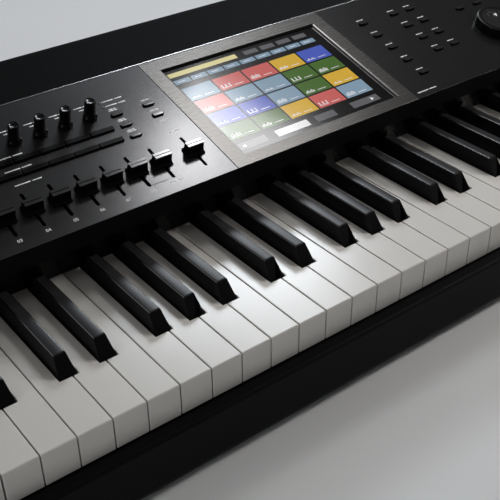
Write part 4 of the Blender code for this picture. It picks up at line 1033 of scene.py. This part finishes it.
class WORKSTATION_OT_buttons(bpy.types.Operator):
    """Makes the caps and webs of the four button sets"""

    bl_idname = "workstation.buttons"
    bl_label = "Buttons"

    def execute(self, context):
        looks = ("button_rubber", "cap_top", "soft_rubber")
        master, value = column("master_slider"), column("value_slider")
        left = [(master, row) for row in PILL_ROWS] + [(value, row) for row in PILL_ROWS[1:]]
        right = [(PAGE_COLUMN, row) for row in PAGE_ROWS]
        right += [(x, row) for x in MODE_COLUMNS for row in PAGE_ROWS[1:]]
        right += [(BANK_COLUMN + i * BANK_PITCH, row) for i in range(7) for row in BANK_ROWS]
        right += [(TRANSPORT_COLUMN + i * BANK_PITCH, PAGE_ROWS[0]) for i in range(5)]
        right += [(DIAL_COLUMN + shift, PAGE_ROWS[3]) for shift in DIAL_SHIFTS]
        right = [(PANEL_HIGH.x + x, y) for x, y in right]
        keypad_left = PANEL_HIGH.x + BANK_COLUMN
        keypad = [
            (keypad_left + i * KEYPAD_PITCH[0], PAGE_ROWS[0] + j * KEYPAD_PITCH[1])
            for j in range(4)
            for i in range(3)
        ]
        strips = [(column(f"slider_{i + 1}"), row) for i in range(8) for row in STRIP_ROWS]
        sets = (
            ("left_button_set", left, PILL, 0.0020),
            ("right_button_set", right, PILL, 0.0020),
            ("keypad_set", keypad, KEYPAD_CAP, 0.0014),
        )
        for node, places, size, corner in sets:
            bm = bmesh.new()
            for centre in places:
                add_cap(bm, centre, size, corner, -CAP_ROOT, CAP_RISE, top_look=1)
            if node == "left_button_set":
                for centre in strips:
                    add_cap(bm, centre, STRIP, 0.0006, -CAP_ROOT, CAP_RISE)
            low, high = panel_box(node)
            add_slab(bm, (low.x, low.y, low.z), (high.x, high.y, low.z + WEB), PANEL, look=2)
            piece(f"{node}_caps", bm, node, looks, (node,))
        bm = bmesh.new()
        pitch = column("slider_2") - column("slider_1")
        for i, row in itertools.product(range(7), STRIP_ROWS):
            x = column(f"slider_{i + 1}") + pitch / 2
            low, high = (x - 0.0002, row - 0.0024, -0.0012), (x + 0.0002, row + 0.0024, 0.0002)
            add_slab(bm, low, high, PANEL)
        piece("strip_dividers", bm, "left_control_panel", ("panel_paint",))
        low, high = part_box("controller_switches")
        bm = bmesh.new()
        middle_y = (low.y + high.y) / 2
        inset = (high.x - low.x) / 2 - SWITCH_CAP[0] / 2 - 0.004
        for side in (-1, 1):
            centre = ((low.x + high.x) / 2 + side * inset, middle_y)
            bottom = low.z + 0.0005
            add_cap(bm, centre, SWITCH_CAP, 0.0016, bottom, high.z, WORLD, top_look=1)
        add_slab(bm, low, (high.x, high.y, low.z + WEB), look=2)
        node = "controller_switches"
        piece(f"{node}_caps", bm, node, looks, (node,))
        return {"FINISHED"}


class WORKSTATION_OT_dial(bpy.types.Operator):
    """Turns the value dial with its ribbed rim and finger dimple"""

    bl_idname = "workstation.dial"
    bl_label = "Value dial"

    def execute(self, context):
        low, high = panel_box("value_dial")
        radius = (high.x - low.x) / 2
        height = high.z
        top = radius - 0.0042
        face_edge = top - 0.0008
        dimple, dimple_reach, depth = Vector((0, 0.009)), 0.0052, 0.0014
        profile = [
            (0.0026, low.z), (0.0026, 0.0004), (radius - 0.0005, 0.0004), (radius, 0.0010),
            (radius, height - 0.0016), (radius - 0.0004, height - 0.0006),
            (radius - 0.0014, height), (top, height), (face_edge, height - 0.0007),
        ]
        rim = len(profile) - 2
        steps = 18
        pitch = (top - 0.0012) / steps
        profile += [(face_edge - pitch * k, height - 0.0008) for k in range(1, steps + 1)]
        per_rib = 2
        sides = sizes().dial_ribs * per_rib

        def ripple(index, k):
            return -0.0003 if index in (3, 4) and k % per_rib == 0 else 0

        place = turning_place("value_dial")
        bm = bmesh.new()
        faces = add_turned(bm, profile, WORLD, sides, ripple)
        for vert in bm.verts:
            reach = (vert.co.xy - dimple).length / dimple_reach
            if vert.co.z > height / 2 and reach < 1:
                vert.co.z -= depth * (1 - reach * reach)
        for face in faces[1 + rim * sides :]:
            face.material_index = 1
        bmesh.ops.transform(bm, matrix=place, verts=bm.verts)
        node = "value_dial"
        piece(f"{node}_turned", bm, node, ("control_black", "cap_top"), (node,))
        return {"FINISHED"}


class WORKSTATION_OT_joystick(bpy.types.Operator):
    """Turns the joystick: shaft, hollow dome and waisted grip"""

    bl_idname = "workstation.joystick"
    bl_label = "Joystick"

    def execute(self, context):
        radius, wall, span = 0.0185, 0.002, math.radians(66)
        count = 12
        angles = [span * k / count for k in range(1, count + 1)]
        inner = [((radius - wall) * math.sin(a), (radius - wall) * math.cos(a)) for a in angles]
        outer = [(radius * math.sin(a), radius * math.cos(a)) for a in reversed(angles)]
        shaft = [(0.0032, -0.0070), (0.0032, radius - wall)]
        collar = [(0.0046, radius + 0.0003), (0.0034, radius + 0.0018)]
        grip = (
            (0.0032, 0.0240), (0.0040, 0.0262), (0.0056, 0.0290), (0.0068, 0.0325),
            (0.0075, 0.0360), (0.0078, 0.0382), (0.0077, 0.0400), (0.0070, 0.0418),
            (0.0055, 0.0430), (0.0030, 0.0435),
        )
        place = Matrix.Translation(AXIS_OF["joystick"])
        bm = bmesh.new()
        add_turned(bm, [*shaft, *inner, *outer, *collar, *grip], place, 48)
        pin = place @ Matrix.Rotation(math.pi / 2, 4, "Y")
        pin_profile = ((0.0013, -0.0120), (0.0016, -0.0116), (0.0016, 0.0116), (0.0013, 0.0120))
        add_turned(bm, pin_profile, pin, 20)
        piece("joystick_turned", bm, "joystick", ("soft_rubber",), ("joystick",))
        return {"FINISHED"}


class WORKSTATION_OT_marks(bpy.types.Operator):
    """Prints plain numbers and short rules on the panel, and sets the two indicator lamps"""

    bl_idname = "workstation.marks"
    bl_label = "Panel marks"

    def execute(self, context):
        print_level = PANEL @ Matrix.Translation((0, 0, 0.00003))
        columns = [column(f"slider_{i + 1}") for i in range(8)]
        master, value = column("master_slider"), column("value_slider")
        bm = bmesh.new()
        height = sizes().number_height
        for i, x in enumerate(columns):
            add_number(bm, f"0{i + 1}", height, print_level, (x, NUMBER_ROW))
        keypad_left = PANEL_HIGH.x + BANK_COLUMN
        for i in range(10):
            across, up = ((i - 1) % 3, (i - 1) // 3 + 1) if i else (1, 0)
            x = keypad_left + across * KEYPAD_PITCH[0] - 0.0042
            y = PAGE_ROWS[0] + up * KEYPAD_PITCH[1] + 0.0065
            add_number(bm, str(i), height, print_level, (x, y))
        above = 0.0056
        rules = [(x, KNOB_MARK_ROW, 0.012) for x in columns]
        rules += [(x, KNOB_MARK_ROW - 0.0034, 0.006) for x in columns]
        rules += [(x, row + 0.0058, 0.0075) for x in (master, value) for row in PILL_ROWS]
        rules += [(master, row + 0.0074, 0.0062) for row in PILL_ROWS]
        rules += [(LAMP_MARK_COLUMN, row, 0.018) for row in LAMP_ROWS]
        middles = (columns[1], columns[3] + 0.0105)
        rules += [(x, row, 0.021) for x in middles for row in STRIP_MARK_ROWS]
        rules += [(master, 0.0106, 0.012), (value, 0.0583, 0.009)]
        edge = PANEL_HIGH.x
        rules += [(edge + 0.0155, 0.0063, 0.022)]
        rules += [(edge + PAGE_COLUMN, row + above, 0.008) for row in PAGE_ROWS]
        rules += [(edge + x, row + above, 0.008) for x in MODE_COLUMNS for row in PAGE_ROWS[1:]]
        for x, y, width in rules:
            for start, end in ((-0.5, 0.08), (0.14, 0.5)):
                word = ((end - start) * width, 0.0011)
                middle = (x + width * (start + end) / 2, y)
                add_cap(bm, middle, word, 0.0003, 0.0, 0.00005, edge=0.00001)
        obj = piece("panel_marks", bm, "left_control_panel", ("panel_print",))
        obj.modifiers.clear()
        bm = bmesh.new()
        lens = ((0.0008, -0.0003), (0.0008, 0.0001), (0.0006, 0.0004), (0.0003, 0.0005))
        for row in LAMP_ROWS:
            add_turned(bm, lens, PANEL @ Matrix.Translation((LAMP_COLUMN, row, 0)), 16)
        piece("indicator_lamps", bm, "left_control_panel", ("lamp_lens",))
        return {"FINISHED"}


class WORKSTATION_OT_feet(bpy.types.Operator):
    """Turns the four rubber feet, each with a groove and a screw well"""

    bl_idname = "workstation.feet"
    bl_label = "Feet"

    def execute(self, context):
        for i in range(4):
            node = f"rubber_foot_{i + 1}"
            low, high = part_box(node)
            radius = (high.x - low.x) / 2
            top = high.z
            groove = radius - 0.0010
            profile = (
                (0.0030, 0.0030), (0.0036, 0.0004), (0.0042, 0.0), (radius - 0.0016, 0.0),
                (radius - 0.0005, 0.0004), (radius - 0.0001, 0.0014),
                (radius - 0.0003, top * 0.45), (groove, top * 0.5), (groove, top * 0.58),
                (radius - 0.0002, top * 0.63), (radius, top - 0.0006), (radius, top),
            )
            place = Matrix.Translation(((low.x + high.x) / 2, (low.y + high.y) / 2, 0))
            bm = bmesh.new()
            add_turned(bm, profile, place, 48)
            piece(f"{node}_turned", bm, node, ("soft_rubber",), (node,))
        return {"FINISHED"}


class WORKSTATION_OT_rear_fittings(bpy.types.Operator):
    """Dresses the back: socket nuts, pins, contacts, rocker switch and screws"""

    bl_idname = "workstation.rear_fittings"
    bl_label = "Rear fittings"

    def execute(self, context):
        for node in ("jack_bar", "data_bar", "power_bar", "power_switch"):
            soften(node, sizes().panel_edge / 2, ("control_black",), longer_than(0.003))
        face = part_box("jack_bar")[1].y

        def at(x, z, y=face):
            return Matrix.Translation((x, y, z)) @ REAR

        nut = (
            (0.0034, -0.0004), (0.0056, -0.0002), (0.0056, 0.0006), (0.0052, 0.0009),
            (0.0037, 0.0009), (0.0034, 0.0005), (0.0034, -0.0003),
        )
        bm = bmesh.new()
        for x in JACKS:
            add_turned(bm, nut, at(x, SOCKET_Z), 40)
        piece("jack_nuts", bm, "jack_bar", ("nickel",))
        contact = ((0.0007, -0.0165), (0.0007, -0.0012), (0.0004, -0.0008))
        bm = bmesh.new()
        for x in ROUND_SOCKETS:
            for k in range(5):
                angle = math.radians(180 + 45 * k)
                spot = (x + 0.0033 * math.cos(angle), SOCKET_Z + 0.0033 * math.sin(angle))
                add_turned(bm, contact, at(*spot), 12)
        for x in DATA_PORTS:
            tongue = Matrix.Translation((x, 0, SOCKET_Z))
            low, high = (-0.0042, face - 0.0165, -0.0024), (0.0042, face - 0.0020, -0.0010)
            add_slab(bm, low, high, tongue)
        piece("socket_contacts", bm, "data_bar", ("nickel",))
        bm = bmesh.new()
        for dx, dz in ((-0.007, -0.002), (0.007, -0.002), (0, 0.003)):
            centre = Matrix.Translation((INLET_X + dx, 0, SOCKET_Z + dz))
            add_slab(bm, (-0.001, face - 0.0180, -0.002), (0.001, face - 0.0040, 0.002), centre)
        piece("inlet_blades", bm, "power_bar", ("nickel",))
        screw = ((0.0026, -0.0002), (0.0028, 0.0003), (0.0025, 0.0010), (0.0017, 0.0014))
        screw += ((0.0008, 0.0015),)
        low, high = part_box("rear_panel")
        pitch = (high.x - low.x - 0.06) / 8
        bm = bmesh.new()
        for k, z in itertools.product(range(9), (low.z + 0.008, high.z - 0.008)):
            add_turned(bm, screw, at(low.x + 0.03 + k * pitch, z, high.y), 24)
        piece("rear_screws", bm, "rear_panel", ("nickel",))
        return {"FINISHED"}


class WORKSTATION_OT_stage(bpy.types.Operator):
    """Sets up the floor, the soft lights and the camera"""

    bl_idname = "workstation.stage"
    bl_label = "Stage"

    def execute(self, context):
        scene = context.scene
        scene.view_settings.view_transform = "Standard"
        bm = bmesh.new()
        bmesh.ops.create_grid(bm, x_segments=1, y_segments=1, size=FLOOR_REACH)
        mesh = bpy.data.meshes.new("floor")
        bm.to_mesh(mesh)
        bm.free()
        floor = bpy.data.objects.new("floor", mesh)
        scene.collection.objects.link(floor)
        look = Finish("floor_paper", colours().floor, 0.9, specular=0.1)
        look.tint(0.01, 3)
        mesh.materials.append(look.material)
        world = bpy.data.worlds.new("studio")
        world.use_nodes = True
        background = world.node_tree.nodes["Background"]
        background.inputs["Color"].default_value = (1, 1, 1, 1)
        background.inputs["Strength"].default_value = WORLD_STRENGTH
        scene.world = world
        for name, place, target, size, energy, spread, colour in LAMPS:
            data = bpy.data.lights.new(name, "AREA")
            data.energy = energy
            data.color = colour
            data.spread = math.radians(spread)
            data.shape = "RECTANGLE"
            data.size, data.size_y = size
            lamp = bpy.data.objects.new(name, data)
            lamp.location = place
            aim = Vector(target) - lamp.location
            lamp.rotation_euler = aim.to_track_quat("-Z", "Y").to_euler()
            scene.collection.objects.link(lamp)
        heading, pitch, roll = (math.radians(angle) for angle in CAMERA_TURNS)
        turn = Matrix.Rotation(-heading, 3, "Z") @ Matrix.Rotation(math.pi / 2 - pitch, 3, "X")
        turn = turn @ Matrix.Rotation(roll, 3, "Z")
        camera = bpy.data.cameras.new("camera")
        camera.lens = CAMERA_LENS
        camera.sensor_width = 36
        eye = bpy.data.objects.new("camera", camera)
        eye.matrix_world = Matrix.Translation(CAMERA_PLACE) @ turn.to_4x4()
        scene.collection.objects.link(eye)
        scene.camera = eye
        return {"FINISHED"}


class WORKSTATION_PT_panel(bpy.types.Panel):
    """Lists the workstation's sizes, colours and steps"""

    bl_label = "Workstation"
    bl_idname = "WORKSTATION_PT_panel"
    bl_space_type = "VIEW_3D"
    bl_region_type = "UI"
    bl_category = "Workstation"

    def draw(self, context):
        for settings in (context.scene.workstation_colours, context.scene.workstation_sizes):
            box = self.layout.box()
            for name in settings.__annotations__:
                box.prop(settings, name)
        for step in STEPS:
            self.layout.operator(step.bl_idname)


STEPS = (
    WORKSTATION_OT_stage,
    WORKSTATION_OT_inner_parts,
    WORKSTATION_OT_case,
    WORKSTATION_OT_keys,
    WORKSTATION_OT_panel,
    WORKSTATION_OT_display,
    WORKSTATION_OT_knobs,
    WORKSTATION_OT_sliders,
    WORKSTATION_OT_buttons,
    WORKSTATION_OT_dial,
    WORKSTATION_OT_joystick,
    WORKSTATION_OT_marks,
    WORKSTATION_OT_feet,
    WORKSTATION_OT_rear_fittings,
)
CLASSES = (WorkstationColours, WorkstationSizes, *STEPS, WORKSTATION_PT_panel)


def register():
    for cls in CLASSES:
        bpy.utils.register_class(cls)
    bpy.types.Scene.workstation_colours = bpy.props.PointerProperty(type=WorkstationColours)
    bpy.types.Scene.workstation_sizes = bpy.props.PointerProperty(type=WorkstationSizes)


def unregister():
    del bpy.types.Scene.workstation_sizes
    del bpy.types.Scene.workstation_colours
    for cls in reversed(CLASSES):
        bpy.utils.unregister_class(cls)


def main():
    register()
    for step in STEPS:
        getattr(bpy.ops.workstation, step.bl_idname.split(".")[1])()


if __name__ == "__main__":
    main()
